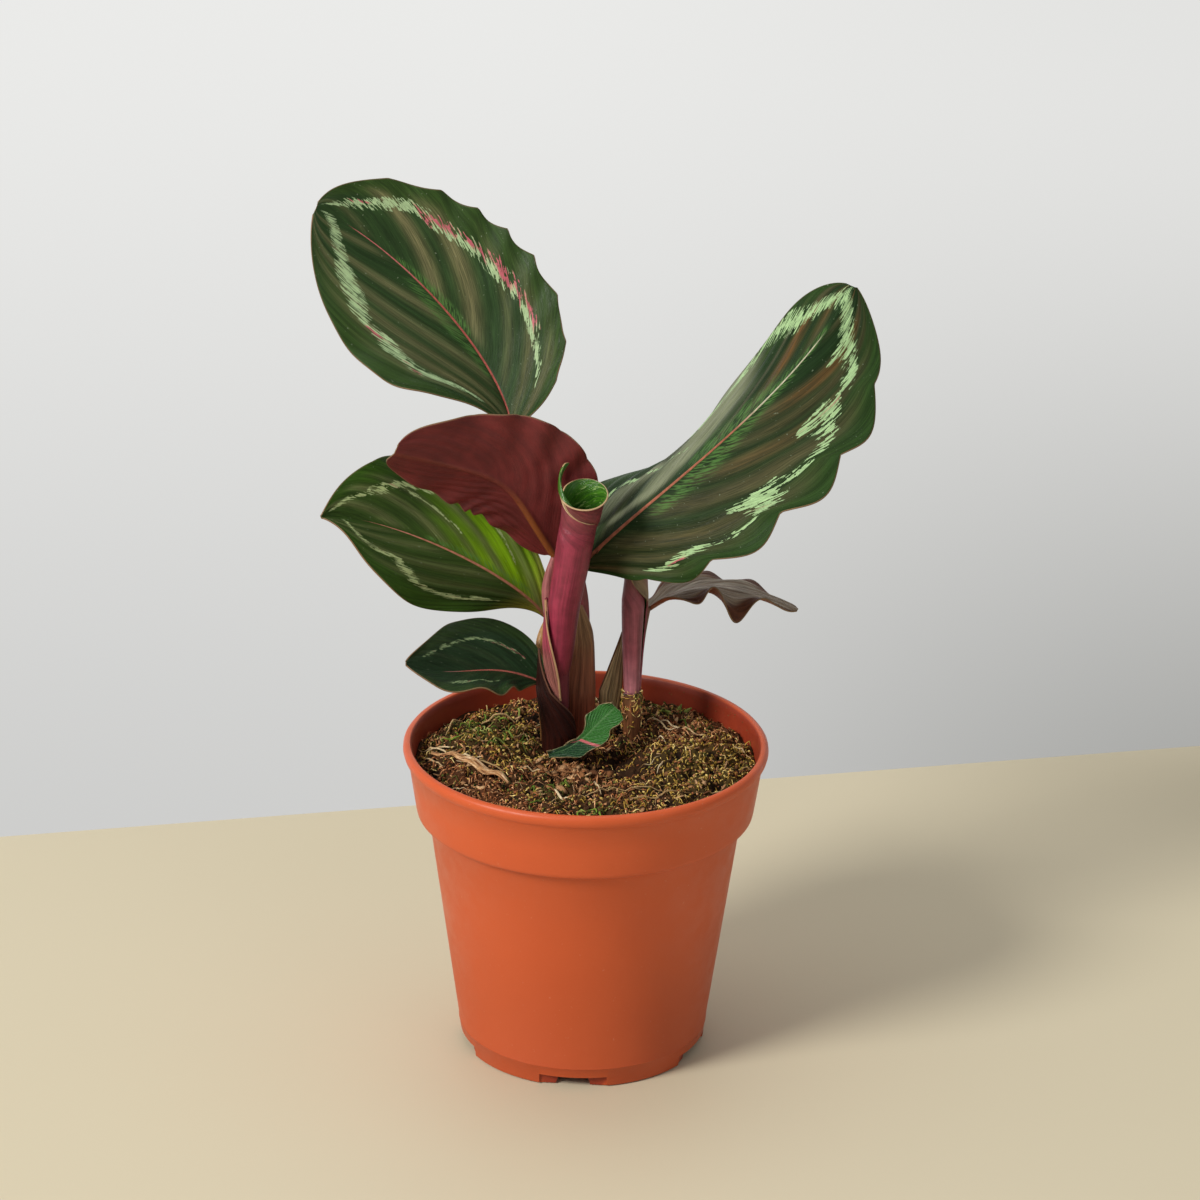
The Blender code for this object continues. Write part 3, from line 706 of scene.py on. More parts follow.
def makeGrains():  # short moss and fine compost, one piece a colour
    rng = random.Random(soil["seed"] + 6)
    grains = {name: [] for name in grainLooks}
    for i in range(soil["grains"]):
        x, y = soilSpot(rng, 0.97)
        green, gold, rust, bare = soilZones(x, y)
        if rng.random() < hidden(x, y, 0.4, 1.3, 0.7, 0.6):
            continue
        name = rng.choices(("mossGrainsGreen", "mossGrainsGold", "mossGrainsBrown"),
                           (green + 0.03, gold * 1.8 + 0.06, rust + 0.16))[0]
        size = rng.uniform(0.28, 0.62)
        place = onHeap(x, y, rng.uniform(0.0, 0.9))
        grains[name].append((place, size, (1.0, rng.uniform(0.35, 0.9), rng.uniform(0.3, 0.7)), rng.random()))
    for name, made in grains.items():
        whole = lumpMesh()[0]
        for first in range(0, len(made), soil["batch"]):  # in batches, because one growing mesh slows every step
            part, tone = lumpMesh()
            for grain in made[first:first + soil["batch"]]:
                lump(part, tone, rng, *grain)
            mesh = toMesh(part, name)
            whole.from_mesh(mesh)
            bpy.data.meshes.remove(mesh)
        mountSmooth(name, whole, "mossy_compost", toned(name, *grainLooks[name], 0.9))


# straws seen in the pot: x, y, heading in degrees, length, bend, lift, width
straws = [
    (-50, 6, -42, 13, 0.5, 0.8, 0.34), (-47.5, 3, -38, 12, -0.2, 1.0, 0.28), (-48.5, -1, -60, 12, 0.3, 0.6, 0.3),
    (-44, -3, -25, 15, 0.1, 0.5, 0.36), (-38, -9, -18, 16, 0.2, 0.4, 0.3), (-34, 22, 35, 14, -0.9, 1.4, 0.32),
    (-42, 15, 70, 9, -0.7, 1.2, 0.3), (-23, 8, 50, 9, 0.3, 1.0, 0.24), (-20, -13, 3, 12, 0.1, 0.6, 0.3),
    (-9, -27, -75, 8, 0.7, 0.9, 0.4), (2, -22, -80, 9, 0.3, 0.7, 0.34), (17, 22, -30, 13, -0.1, 0.8, 0.24),
    (19, 25, -42, 14, 0.1, 1.0, 0.24), (27, 23, -40, 14, 0.0, 0.5, 0.3), (13, -30, 12, 17, 0.2, 0.6, 0.3),
    (6, -33, 18, 20, 0.1, 0.5, 0.26), (3, -30, 24, 15, -0.2, 0.9, 0.2), (8, -27, 8, 18, 0.3, 1.2, 0.18),
    (-3, -34, 30, 14, 0.1, 0.7, 0.2), (36, -22, 20, 9, 0.3, 0.4, 0.3), (20, 11, -70, 8, 0.4, 0.7, 0.26),
    (21, -13, 60, 6, 0.4, 1.0, 0.28), (44, 10, -60, 9, 0.3, 0.5, 0.26)]


def layRoute(x, y, heading, length, bend, lift, count=9):
    route = []
    for j in range(count):
        t = j / (count - 1)
        spot = math.hypot(x, y)
        if spot > soil["reach"]:
            x, y = x * soil["reach"] / spot, y * soil["reach"] / spot
        route.append(Vector((x, y, roughHeight(x, y) + 0.4 + lift * math.sin(math.pi * t))))
        x += math.cos(heading + bend * t) * length / (count - 1)
        y += math.sin(heading + bend * t) * length / (count - 1)
    return route


def makeStraws():
    rng = random.Random(soil["seed"] + 2)
    fibres = []
    for x, y, heading, length, bend, lift, width in straws:
        fibres.append((layRoute(x, y, math.radians(heading), length, bend, lift), width, rng.uniform(0.4, 1.0)))
    for i in range(soil["straws"]):
        x, y = soilSpot(rng, 0.95)
        route = layRoute(x, y, rng.random() * math.tau, rng.uniform(4, 11), rng.uniform(-1.5, 1.5),
                         rng.uniform(0.1, 0.9))
        fibres.append((route, rng.uniform(0.08, 0.17), rng.random()))
    look = toned("dryStraw", (0.2, 0.11, 0.04), (0.44, 0.29, 0.13), (0.7, 0.56, 0.34), 0.7)
    fibrePiece("straws", fibres, 1, look, "mossy_compost")


for make in (makeSoil, makeCrumbs, makeFlakes, makeMoss, makeGrains, makeStraws, makeBarkStrip):
    make()
print("soil ready")


# leaf blades

def ribPoint(points, t):
    s = 1 - t
    p0, p1, p2, p3 = (Vector(p) for p in points)
    return p0 * s ** 3 + p1 * 3 * s * s * t + p2 * 3 * s * t * t + p3 * t ** 3


def ribWay(points, t):
    s = 1 - t
    p0, p1, p2, p3 = (Vector(p) for p in points)
    return ((p1 - p0) * s * s + (p2 - p1) * 2 * s * t + (p3 - p2) * t * t).normalized()


def halfWidth(leaf, x, side):
    power = math.log(0.5) / math.log(leaf["belly"][side])
    arch = max(math.sin(math.pi * min(max(x, 0.0), 1.0) ** power), 0.0)
    return math.hypot(leaf["half"][side] * arch ** leaf["full"][side], 0.5)


def veinPlace(leaf, q, a, side):  # the share of the midrib where the vein through this spot starts
    first, last, power = leaf["sweep"][side]
    return q - (first + (last - first) * q) * a ** power


def bladePlace(leaf, q, s):
    side = 0 if s >= 0 else 1
    a = abs(s)
    out = q + 0.16 * math.sin(math.pi * q)
    x = q + (out - q) * a ** 1.2
    width = halfWidth(leaf, out, side)
    count, lift, phase, scallop = leaf["edge"][side]
    body = math.sqrt(max(math.sin(math.pi * out), 0.0))
    wave = count * out + leaf.get("uneven", 0.0) * math.sin(11 * out)
    tooth = abs(math.sin(math.pi * wave + phase / 2)) - 0.6
    y = width * a * (1 + scallop * a ** 3 * math.sqrt(body) * tooth)
    f0, f1, f2 = leaf["fold"][side]
    fold = math.radians(f0 * (1 - x) ** 2 + f1 * 2 * x * (1 - x) + f2 * x * x)
    curl = math.radians(leaf["curl"][side]) * (0.25 + 0.75 * math.sin(math.pi * x))
    if abs(curl) < 1e-4:
        curl = 1e-4
    full = leaf["half"][side]
    angle = fold + curl * y / full
    spreadOut = (math.sin(angle) - math.sin(fold)) * full / curl
    rise = (math.cos(fold) - math.cos(angle)) * full / curl
    along = ribWay(leaf["rib"], x)
    face = Vector(leaf["face"][0]).normalized() * (1 - x) + Vector(leaf["face"][1]).normalized() * x
    up = (face - along * face.dot(along)).normalized()
    across = up.cross(along) * (1 - 2 * side)
    normal = up * math.cos(angle) - across * math.sin(angle)
    ripple = lift * body * a ** 2.5 * math.cos(math.tau * count * out + phase)
    vein = veinPlace(leaf, q, a, side)
    pleat = leaf["pleat"] * math.sin(math.tau * leaf["pleats"] * vein)
    pleat *= step(a, 0.02, 0.35) * step(1 - a, 0.0, 0.3) * body
    sag = 0.35 * noise.noise(Vector((q * 5, s * 3, leaf["seed"])))
    place = ribPoint(leaf["rib"], x) + across * spreadOut + up * rise + normal * (ripple + pleat + sag * a)
    if "droop" in leaf and side == 1:  # a flap of the margin that hangs
        at, wide, deep = leaf["droop"]
        place.z -= deep * math.exp(-((q - at) / wide) ** 2) * a ** 3
    return place, normal, width


def strokeStrength(strokes, q, s):
    # the nearest painted stroke: the value falls from 1 on its line to 0 at its edge
    best = 0.0
    for stroke in strokes:
        for (q0, s0, w0), (q1, s1, w1) in zip(stroke, stroke[1:]):
            dq, ds = q1 - q0, s1 - s0
            t = min(max(((q - q0) * dq + (s - s0) * ds) / (dq * dq + ds * ds + 1e-9), 0.0), 1.0)
            gap = math.hypot(q - q0 - dq * t, s - s0 - ds * t)
            best = max(best, 1 - gap / ((w0 + (w1 - w0) * t) * 2))
    return best


# A blade runs along its rib, q from 0 at the stalk to 1 at the tip, and out from it to both edges, s from 1 to -1.
# Pairs are for the two halves. Strokes of band, pink, flush and pale are (q, s, half width), and the pale strokes are
# painted sheen where the blade curls away. A bar is its half, the vein it lies along, its width, its strength and its
# share of bronze.
leaves = {
    "leaf_upper_left": dict(
        rib=[(-23, 20, 186), (-26, 42, 200), (-57, 48, 233), (-81, 42, 246)], face=[(0, -0.83, 0.55),
        (-0.08, -0.87, 0.49)], half=(33, 30), belly=(0.5, 0.41), full=(0.52, 0.54), fold=[(50, 28, 6), (38, 17, 6)],
        curl=(-3, -6), edge=[(4, 0.5, 0, 0), (9.2, 0.6, 1.0, -0.065)], uneven=0.2, grid=(230, 96), pleat=0.16,
        pleats=9, seed=1.0, ribWidth=0.95, thick=0.42, sweep=[(0.85, 1.05, 1.25), (0.34, 0.3, 1.1)],
        band=[[(0.1, 0.42, 0.008), (0.2, 0.58, 0.018), (0.3, 0.69, 0.024), (0.45, 0.69, 0.04), (0.52, 0.73, 0.012),
            (0.6, 0.7, 0.046), (0.7, 0.63, 0.054), (0.8, 0.52, 0.034), (0.88, 0.34, 0.023), (0.93, 0.13, 0.017),
            (0.955, 0.0, 0.018)], [(0.09, -0.52, 0.012), (0.18, -0.6, 0.035), (0.21, -0.6, 0.018),
            (0.26, -0.67, 0.04), (0.36, -0.69, 0.055), (0.45, -0.68, 0.045), (0.55, -0.69, 0.05), (0.6, -0.71, 0.035),
            (0.66, -0.76, 0.04), (0.74, -0.67, 0.038), (0.82, -0.61, 0.045), (0.88, -0.5, 0.04), (0.95, -0.4, 0.02)]],
        pink=[[(0.24, -0.71, 0.06), (0.38, -0.73, 0.09), (0.44, -0.71, 0.02), (0.5, -0.72, 0.06),
            (0.58, -0.72, 0.06)], [(0.8, -0.62, 0.01), (0.83, -0.61, 0.035)], [(0.28, 0.7, 0.02), (0.34, 0.7, 0.01)],
            [(0.47, 0.72, 0.02), (0.5, 0.73, 0.02)]],
        bars=[(1, 0.345, 0.045, 0.9, 0.1), (1, 0.52, 0.04, 1.0, 0.05), (1, 0.16, 0.03, 0.35, 0.0),
            (0, 0.42, 0.05, 0.7, 0.0), (0, 0.19, 0.06, 0.6, 0.0), (0, 0.72, 0.045, 0.6, 0.0),
            (0, 0.02, 0.05, 0.6, 0.1), (1, 0.8, 0.03, 0.3, 0.0), (0, -0.13, 0.06, 0.6, 0.25),
            (0, -0.3, 0.05, 0.4, 0.2), (1, 0.03, 0.04, 0.4, 0.3), (1, -0.12, 0.05, 0.5, 0.4)],
        flush=[[(0.26, 0.06, 0.03), (0.45, 0.08, 0.05), (0.58, 0.08, 0.04)], [(0.42, -0.05, 0.04),
            (0.54, -0.05, 0.05), (0.66, -0.05, 0.03)]]),
    "leaf_back_turned": dict(
        rib=[(-10, 14.4, 149), (-26, 0, 179), (-18, 9, 174), (-56, -15, 191)], face=[(0, 0.99, 0.1),
        (-0.1, 0.96, 0.25)], half=(24.3, 14.3), belly=(0.41, 0.55), full=(0.36, 0.31), fold=[(6, 2, 8), (21, -2, 17)],
        curl=(0, 0), edge=[(6, 0.9, 0, 0.04), (6, 0.9, 1, 0.035)], grid=(180, 72), pleat=0.14, pleats=8, seed=2.0,
        ribWidth=0.9, thick=0.42, sweep=[(0.5, 0.5, 1.2), (0.5, 0.5, 1.2)],
        band=[[(0.15, 0.6, 0.02), (0.4, 0.72, 0.04), (0.65, 0.72, 0.05), (0.85, 0.5, 0.03)], [(0.15, -0.6, 0.02),
            (0.4, -0.72, 0.04), (0.65, -0.72, 0.05), (0.85, -0.5, 0.03)]],
        bars=[(0, 0.2, 0.04, 0.6, 0.0), (0, 0.45, 0.04, 0.7, 0.0), (1, 0.3, 0.04, 0.7, 0.0),
            (1, 0.55, 0.04, 0.6, 0.0)]),
    "leaf_left": dict(
        rib=[(-12, 25, 124.2), (-20, 11, 144), (-62, 8, 165), (-77.5, -3.5, 166.7)], face=[(-0.35, -0.75, 0.55),
        (-0.15, -0.75, 0.65)], half=(20, 26), belly=(0.6, 0.57), full=(0.92, 1.0), fold=[(-25, 8, 34), (13, -11, 35)],
        curl=(-6, -50), edge=[(3, 0.8, 0, 0), (5, 1.0, 0, 0.03)], grid=(210, 88), pleat=0.22, pleats=8, seed=3.0,
        ribWidth=0.85, thick=0.42, sweep=[(0.65, 0.75, 1.15), (0.4, 0.36, 1.1)],
        band=[[(0.2, 0.5, 0.006), (0.26, 0.55, 0.02), (0.35, 0.66, 0.025), (0.48, 0.68, 0.022), (0.55, 0.58, 0.03),
            (0.585, 0.51, 0.012)], [(0.59, 0.52, 0.012), (0.66, 0.58, 0.02), (0.73, 0.63, 0.035), (0.78, 0.6, 0.02),
            (0.84, 0.44, 0.01), (0.88, 0.2, 0.006)], [(0.24, -0.3, 0.004), (0.31, -0.55, 0.007)],
            [(0.44, -0.25, 0.003), (0.52, -0.42, 0.006), (0.58, -0.56, 0.008)], [(0.36, -0.62, 0.02),
            (0.52, -0.6, 0.02), (0.6, -0.66, 0.035), (0.68, -0.62, 0.045), (0.75, -0.6, 0.03), (0.85, -0.62, 0.04),
            (0.92, -0.5, 0.02)]],
        bars=[(1, 0.27, 0.028, 0.9, 0.0), (1, 0.38, 0.022, 0.7, 0.0), (1, 0.49, 0.03, 0.9, 0.0),
            (1, 0.66, 0.04, 0.8, 0.0), (1, 0.06, 0.06, 0.8, 0.0), (0, 0.1, 0.05, 0.5, 0.0), (0, 0.3, 0.05, 0.6, 0.0),
            (0, 0.5, 0.05, 0.6, 0.0), (0, 0.66, 0.04, 0.5, 0.0)],
        flush=[[(0.15, -0.12, 0.05), (0.3, -0.06, 0.03), (0.55, -0.05, 0.02)]]),
    "leaf_low_left": dict(
        rib=[(-13.5, 11, 109.5), (-31, 9, 118.5), (-36.5, -1.5, 114), (-53, -8, 123)], face=[(-0.03, -0.59, 0.81),
        (-0.04, -0.57, 0.82)], half=(16.5, 16.5), belly=(0.54, 0.43), full=(0.69, 0.58), fold=[(32, 32, 28),
        (29, 20, 17)], curl=(0, -11), edge=[(3, 1.2, 0, 0.03), (3, 0.5, 0, 0)], grid=(160, 64), pleat=0.18, pleats=7,
        seed=4.0, ribWidth=0.7, thick=0.4, sweep=[(0.35, 0.35, 1.2), (0.55, 0.5, 1.1)],
        band=[[(0.3, 0.48, 0.008), (0.42, 0.52, 0.02), (0.5, 0.5, 0.012)], [(0.54, 0.52, 0.02), (0.62, 0.58, 0.035),
            (0.68, 0.66, 0.02)], [(0.12, -0.42, 0.012), (0.22, -0.5, 0.014), (0.33, -0.62, 0.016),
            (0.45, -0.64, 0.02), (0.53, -0.66, 0.012)], [(0.55, -0.62, 0.02), (0.62, -0.66, 0.035)],
            [(0.72, -0.66, 0.02), (0.8, -0.62, 0.04), (0.84, -0.6, 0.02)]],
        pink=[[(0.12, -0.42, 0.02), (0.24, -0.52, 0.02)], [(0.57, -0.58, 0.02), (0.6, -0.6, 0.02)]],
        bars=[(0, 0.25, 0.05, 0.4, 0.0), (1, 0.2, 0.05, 0.4, 0.0), (1, 0.45, 0.05, 0.4, 0.0),
            (0, 0.5, 0.05, 0.4, 0.0)]),
    "leaf_right": dict(
        rib=[(-2.5, 12.6, 145.7), (11, -4, 170.3), (58.3, 28, 190.5), (77.4, 48.5, 222.2)],
        face=[(-0.35, -0.75, 0.55), (-0.5, -0.75, 0.42)], half=(34, 35.5), belly=(0.44, 0.55), full=(0.45, 0.75),
        fold=[(-9, -60, -2), (-40, 36, -40)], curl=(-40, 18), edge=[(3, 0.8, 0, 0), (6, 1.2, 0, 0.13)],
        grid=(240, 104), pleat=0.34, pleats=10, seed=5.0, ribWidth=0.95, thick=0.42, sweep=[(0.35, 0.45, 1.1),
        (0.22, 0.55, 1.15)],
        band=[[(0.14, 0.57, 0.022), (0.2, 0.6, 0.022), (0.26, 0.54, 0.012), (0.33, 0.47, 0.01), (0.42, 0.42, 0.006)],
            [(0.42, 0.75, 0.02), (0.58, 0.9, 0.03), (0.7, 0.99, 0.03), (0.76, 0.9, 0.045), (0.8, 0.78, 0.04),
            (0.87, 0.58, 0.045), (0.94, 0.42, 0.035)], [(0.15, -0.71, 0.012), (0.19, -0.7, 0.035),
            (0.25, -0.67, 0.035), (0.28, -0.7, 0.008), (0.35, -0.79, 0.008), (0.38, -0.76, 0.024),
            (0.42, -0.66, 0.036), (0.435, -0.61, 0.02)], [(0.37, -0.53, 0.01), (0.4, -0.58, 0.024),
            (0.42, -0.65, 0.024)], [(0.44, -0.65, 0.006), (0.49, -0.76, 0.008), (0.53, -0.77, 0.022),
            (0.6, -0.71, 0.03), (0.65, -0.66, 0.042)], [(0.59, -0.5, 0.01), (0.62, -0.56, 0.032),
            (0.65, -0.64, 0.032)], [(0.66, -0.55, 0.005), (0.71, -0.68, 0.01), (0.74, -0.7, 0.034),
            (0.8, -0.62, 0.04), (0.84, -0.55, 0.03)], [(0.79, -0.37, 0.014), (0.83, -0.44, 0.024),
            (0.86, -0.49, 0.04), (0.91, -0.34, 0.035), (0.94, -0.2, 0.022), (0.96, 0.0, 0.02), (0.96, 0.2, 0.02),
            (0.94, 0.42, 0.02)]],
        pink=[[(0.19, -0.7, 0.01), (0.22, -0.7, 0.01)]],
        # pale strokes: painted sheen on the far half, where it curls away near the fold
        pale=[[(0.05, 0.3, 0.06), (0.16, 0.4, 0.08), (0.3, 0.5, 0.05)], [(0.2, 0.15, 0.03), (0.33, 0.14, 0.05),
            (0.42, 0.28, 0.075), (0.5, 0.52, 0.09), (0.56, 0.92, 0.07)]],
        bars=[(1, 0.145, 0.045, 0.9, 0.15), (1, 0.29, 0.042, 1.0, 0.05), (1, 0.405, 0.035, 0.9, 0.35),
            (1, 0.505, 0.03, 0.8, 0.1), (1, 0.6, 0.04, 1.0, 0.8), (1, 0.05, 0.04, 0.6, 0.2),
            (1, 0.86, 0.035, 0.8, 0.6), (0, 0.62, 0.04, 1.0, 0.95), (0, 0.5, 0.022, 0.7, 0.1),
            (0, 0.8, 0.04, 0.7, 0.6), (0, 0.12, 0.05, 0.5, 0.0), (0, 0.3, 0.05, 0.6, 0.0),
            (1, -0.06, 0.04, 0.9, 0.4)],
        flush=[[(0.5, 0.08, 0.06), (0.6, 0.12, 0.1), (0.66, 0.05, 0.03), (0.85, 0.05, 0.03)], [(0.34, -0.09, 0.05),
            (0.46, -0.08, 0.07), (0.6, -0.05, 0.04), (0.85, 0.0, 0.03)]]),
    "leaf_low_right": dict(
        rib=[(18, 26, 128), (31, 37, 132.5), (42, 37, 133.5), (63, 33, 125)], face=[(-0.1, -0.05, 0.99),
        (0.2, -0.09, 0.98)], half=(14.5, 14.5), belly=(0.51, 0.45), full=(0.65, 0.65), fold=[(-12, -5, -18),
        (26, 12, 6)], curl=(-8, -5), edge=[(4, 1.5, 0, 0), (2.5, 3.0, -0.5, 0.05)], grid=(170, 64), pleat=0.35,
        pleats=9, seed=6.0, ribWidth=0.7, thick=0.42, droop=(0.53, 0.085, 4.6), sweep=[(0.5, 0.5, 1.2),
        (0.5, 0.5, 1.2)],
        # its bars are painted sheen streaks
        bars=[(0, 0.25, 0.05, 0.6, 0.2), (1, 0.3, 0.05, 0.6, 0.2), (0, 0.5, 0.05, 0.6, 0.3),
            (1, 0.55, 0.05, 0.6, 0.3)]),
}

# colours of each blade: dark and outer green, the bars, the band, the midrib, the margin and the underside
leafLooks = {
    "leaf_upper_left": dict(
        dark=(0.02, 0.047, 0.012), outer=(0.026, 0.056, 0.01), bar=(0.155, 0.145, 0.066), rib=(0.38, 0.085, 0.065),
        ribTip=(0.5, 0.14, 0.13), ribEnd=0.86, band=(0.39, 0.53, 0.28)),
    "leaf_back_turned": dict(
        dark=(0.012, 0.045, 0.014), outer=(0.025, 0.08, 0.014), bar=(0.085, 0.1, 0.03), rib=(0.35, 0.1, 0.03),
        ribTip=(0.12, 0.02, 0.02), ribEnd=0.9, band=(0.36, 0.5, 0.22), under=(0.145, 0.019, 0.019),
        underRib=(0.33, 0.1, 0.02)),
    "leaf_left": dict(
        dark=(0.03, 0.06, 0.01), outer=(0.036, 0.085, 0.009), bar=(0.13, 0.15, 0.055), rib=(0.45, 0.18, 0.11),
        ribTip=(0.52, 0.2, 0.14), ribEnd=0.8, band=(0.46, 0.55, 0.25), gloss=0.1, lower=(0.17, 0.33, 0.004),
        foot=(0.3, 0.3, 0.045)),
    "leaf_low_left": dict(
        dark=(0.014, 0.036, 0.012), outer=(0.022, 0.048, 0.011), bar=(0.035, 0.055, 0.02), rib=(0.45, 0.12, 0.09),
        ribTip=(0.4, 0.17, 0.15), ribEnd=0.74, band=(0.26, 0.36, 0.17)),
    "leaf_right": dict(
        dark=(0.012, 0.03, 0.008), outer=(0.02, 0.048, 0.009), bar=(0.07, 0.066, 0.029), rib=(0.36, 0.12, 0.07),
        ribTip=(0.5, 0.46, 0.32), ribEnd=0.86, band=(0.38, 0.56, 0.27), gloss=0.08),
    # leaf_low_right: its top is lifted to a pale grey, with paler bars, as painted sheen; the leaf itself is darker
    # olive-brown
    "leaf_low_right": dict(
        dark=(0.31, 0.245, 0.17), outer=(0.12, 0.042, 0.018), bar=(0.7, 0.64, 0.5), rib=(0.26, 0.15, 0.1),
        ribTip=(0.16, 0.09, 0.06), ribEnd=0.9, band=(0.3, 0.3, 0.2), under=(0.22, 0.055, 0.018),
        underRib=(0.25, 0.08, 0.03), gloss=0.2),
}


def leafTop(name, look):
    newMaterial(name, 0.45, look.get("gloss", 0.17))
    vein, across, along, outer, band = (mark(key) for key in ("vein", "across", "along", "outer", "band"))
    fine = alongNoise(vein, across, 230.0, 6.0)
    hair = alongNoise(vein, across, 620.0, 9.0, 2.0)
    broad = alongNoise(vein, across, 34.0, 2.5)
    base = colour(outer, look["dark"], look["outer"])
    if "lower" in look:
        fresh = times(spread(across, 0.05, -0.1), spread(along, 0.6, 0.28))
        base = colour(fresh, base, colour(outer, look["lower"], look["outer"]))
        base = colour(spread(along, 0.22, 0.06), base, look["foot"])
    base = colour(times(mark("bar"), spread(fine, 0.3, 0.6, (0.68, 1.0))), base, look["bar"])
    bronze = times(mark("bronze"), spread(plus(fine, broad), 0.75, 1.15, (0.25, 1.0)))
    base = colour(bronze, base, (0.125, 0.056, 0.015))
    for grain, low, high in ((broad, 0.8, 1.2), (fine, 0.8, 1.22), (hair, 0.88, 1.12)):
        base = brighten(base, grain, low, high)
    # painted sheen: the pale strokes lay a grey-green sheen over the blade
    pale = times(spread(mark("pale"), 0.0, 0.8), spread(fine, 0.3, 0.65, (0.5, 0.95)))
    base = colour(pale, base, (0.23, 0.25, 0.15))
    dust = spread(placeNoise(1300.0, 1.0), 0.73, 0.79)
    base = colour(times(dust, 0.45), base, (0.3, 0.36, 0.24))
    speck = spread(alongNoise(vein, across, 130.0, 12.0, 2.0), 0.42, 0.6)
    flush = times(spread(mark("flush"), 0.1, 0.8), speck)
    base = colour(times(flush, 0.75), base, (0.085, 0.2, 0.045))
    rag = times(alongNoise(vein, across, 84.0, 9.0, 1.0), 0.75)
    rag = plus(plus(rag, times(alongNoise(vein, across, 200.0, 26.0, 1.0), 0.3)), times(placeNoise(520.0, 2.0), 0.34))
    edge = minus(band, times(minus(rag, 0.7), 4.0))
    bandMask = times(spread(edge, 0.56, 0.63), spread(band, 0.05, 0.2))
    pinkRag = minus(mark("pink"), times(minus(broad, 0.45), 2.4))
    bandColour = colour(spread(pinkRag, 0.3, 0.75), look["band"], (0.52, 0.125, 0.15))
    bandColour = brighten(bandColour, alongNoise(vein, across, 300.0, 20.0, 2.0), 0.72, 1.2)
    base = colour(times(bandMask, 0.94), base, bandColour)
    ribEnd = look["ribEnd"]
    ribHalf = addNode("MapRange", {}, Value=along, From_Min=0.0, From_Max=ribEnd, To_Min=0.85, To_Max=0.22).outputs[0]
    ribMask = times(spread(maths("DIVIDE", unsigned(mark("ribGap")), ribHalf), 1.05, 0.55),
                    spread(along, ribEnd + 0.02, ribEnd - 0.04))
    ribColour = colour(spread(along, 0.55, 0.67), look["rib"], look["ribTip"])
    base = colour(ribMask, base, brighten(ribColour, alongNoise(along, across, 60.0, 30.0), 0.8, 1.2))
    base = colour(times(spread(mark("rimGap"), 0.3, 0.06), 0.6), base, (0.16, 0.105, 0.05))
    return finishMaterial(base, (plus(times(fine, 0.7), times(hair, 0.3)), 0.00022, 0.75), (broad, 0.36, 0.48))


def leafUnder(name, look):
    under = look.get("under", (0.115, 0.022, 0.03))
    newMaterial(name, 0.5, 0.35)
    vein, across, along = mark("vein"), mark("across"), mark("along")
    fine = alongNoise(vein, across, 200.0, 5.0)
    base = brighten(colour(0.0, under, under), alongNoise(vein, across, 16.0, 2.0), 0.9, 1.12)
    base = brighten(base, fine, 0.95, 1.05)
    base = brighten(base, placeNoise(110.0, 4.0), 0.82, 1.22)
    ribMask = times(spread(unsigned(mark("ribGap")), 0.95, 0.35), spread(along, 0.5, 0.12, (0.12, 0.85)))
    base = colour(ribMask, base, look.get("underRib", (0.3, 0.07, 0.045)))
    base = colour(times(spread(mark("rimGap"), 0.32, 0.08), 0.6), base, (0.26, 0.12, 0.07))
    return finishMaterial(base, (fine, 0.00018, 0.6))


def leafRim(name):
    newMaterial(name, 0.5, 0.35)
    return finishMaterial(colour(placeNoise(260.0), (0.13, 0.055, 0.03), (0.3, 0.2, 0.09)))


ribRaise = 1.1  # how far the midrib swells the blade at the stalk, in mm


def makeLeaf(name, leaf):
    look = leafLooks[name]
    most = leaf["thick"] + ribRaise

    def shape(x, s):
        q = 0.004 + 0.992 * (0.5 - 0.5 * math.cos(math.pi * (x * 0.5 + 0.5)))
        side, a = (0 if s >= 0 else 1), abs(s)
        place, normal, width = bladePlace(leaf, q, s)
        ribHalf = leaf["ribWidth"] * (1.15 - 0.85 * q)
        ribSwell = math.exp(-(width * a / ribHalf) ** 2) * (1 - step(q, 0.75, 0.98))
        swell = ribRaise * (1 - 0.6 * q) * ribSwell
        vein = veinPlace(leaf, q, a, side)
        bar = bronze = 0.0
        for half, at, wide, strength, brown in leaf["bars"]:
            if half == side:
                value = strength * math.exp(-((vein - at) / wide) ** 2)
                value = value * step(a, 0.01, 0.12) * (1 - step(a, 0.72, 0.95))
                bar = max(bar, value)
                bronze = max(bronze, value * brown * step(a, 0.08, 0.3) * (1 - step(a, 0.5, 0.72)))
        marks = {key: strokeStrength(leaf.get(key, []), q, s) for key in ("band", "pink", "flush", "pale")}
        marks.update(vein=vein + side * 3, across=s, along=q, ribGap=width * s, outer=step(a, 0.66, 0.82),
                     rimGap=min(width * (1 - a), 0.5 + 40 * q, 0.2 + 60 * (1 - q)), bar=min(bar, 1.0),
                     bronze=min(bronze, 1.0))
        return place - normal * swell * 0.44, marks, (leaf["thick"] + swell) / most

    materials = [leafTop(name + "Top", look), leafUnder(name + "Under", look), leafRim(name + "Rim")]
    makeSheet(name + "_blade", leaf["grid"], shape, most, materials, "leaf_green", name)


for leafName, leafValues in leaves.items():
    makeLeaf(leafName, leafValues)
    print(leafName, "ready")


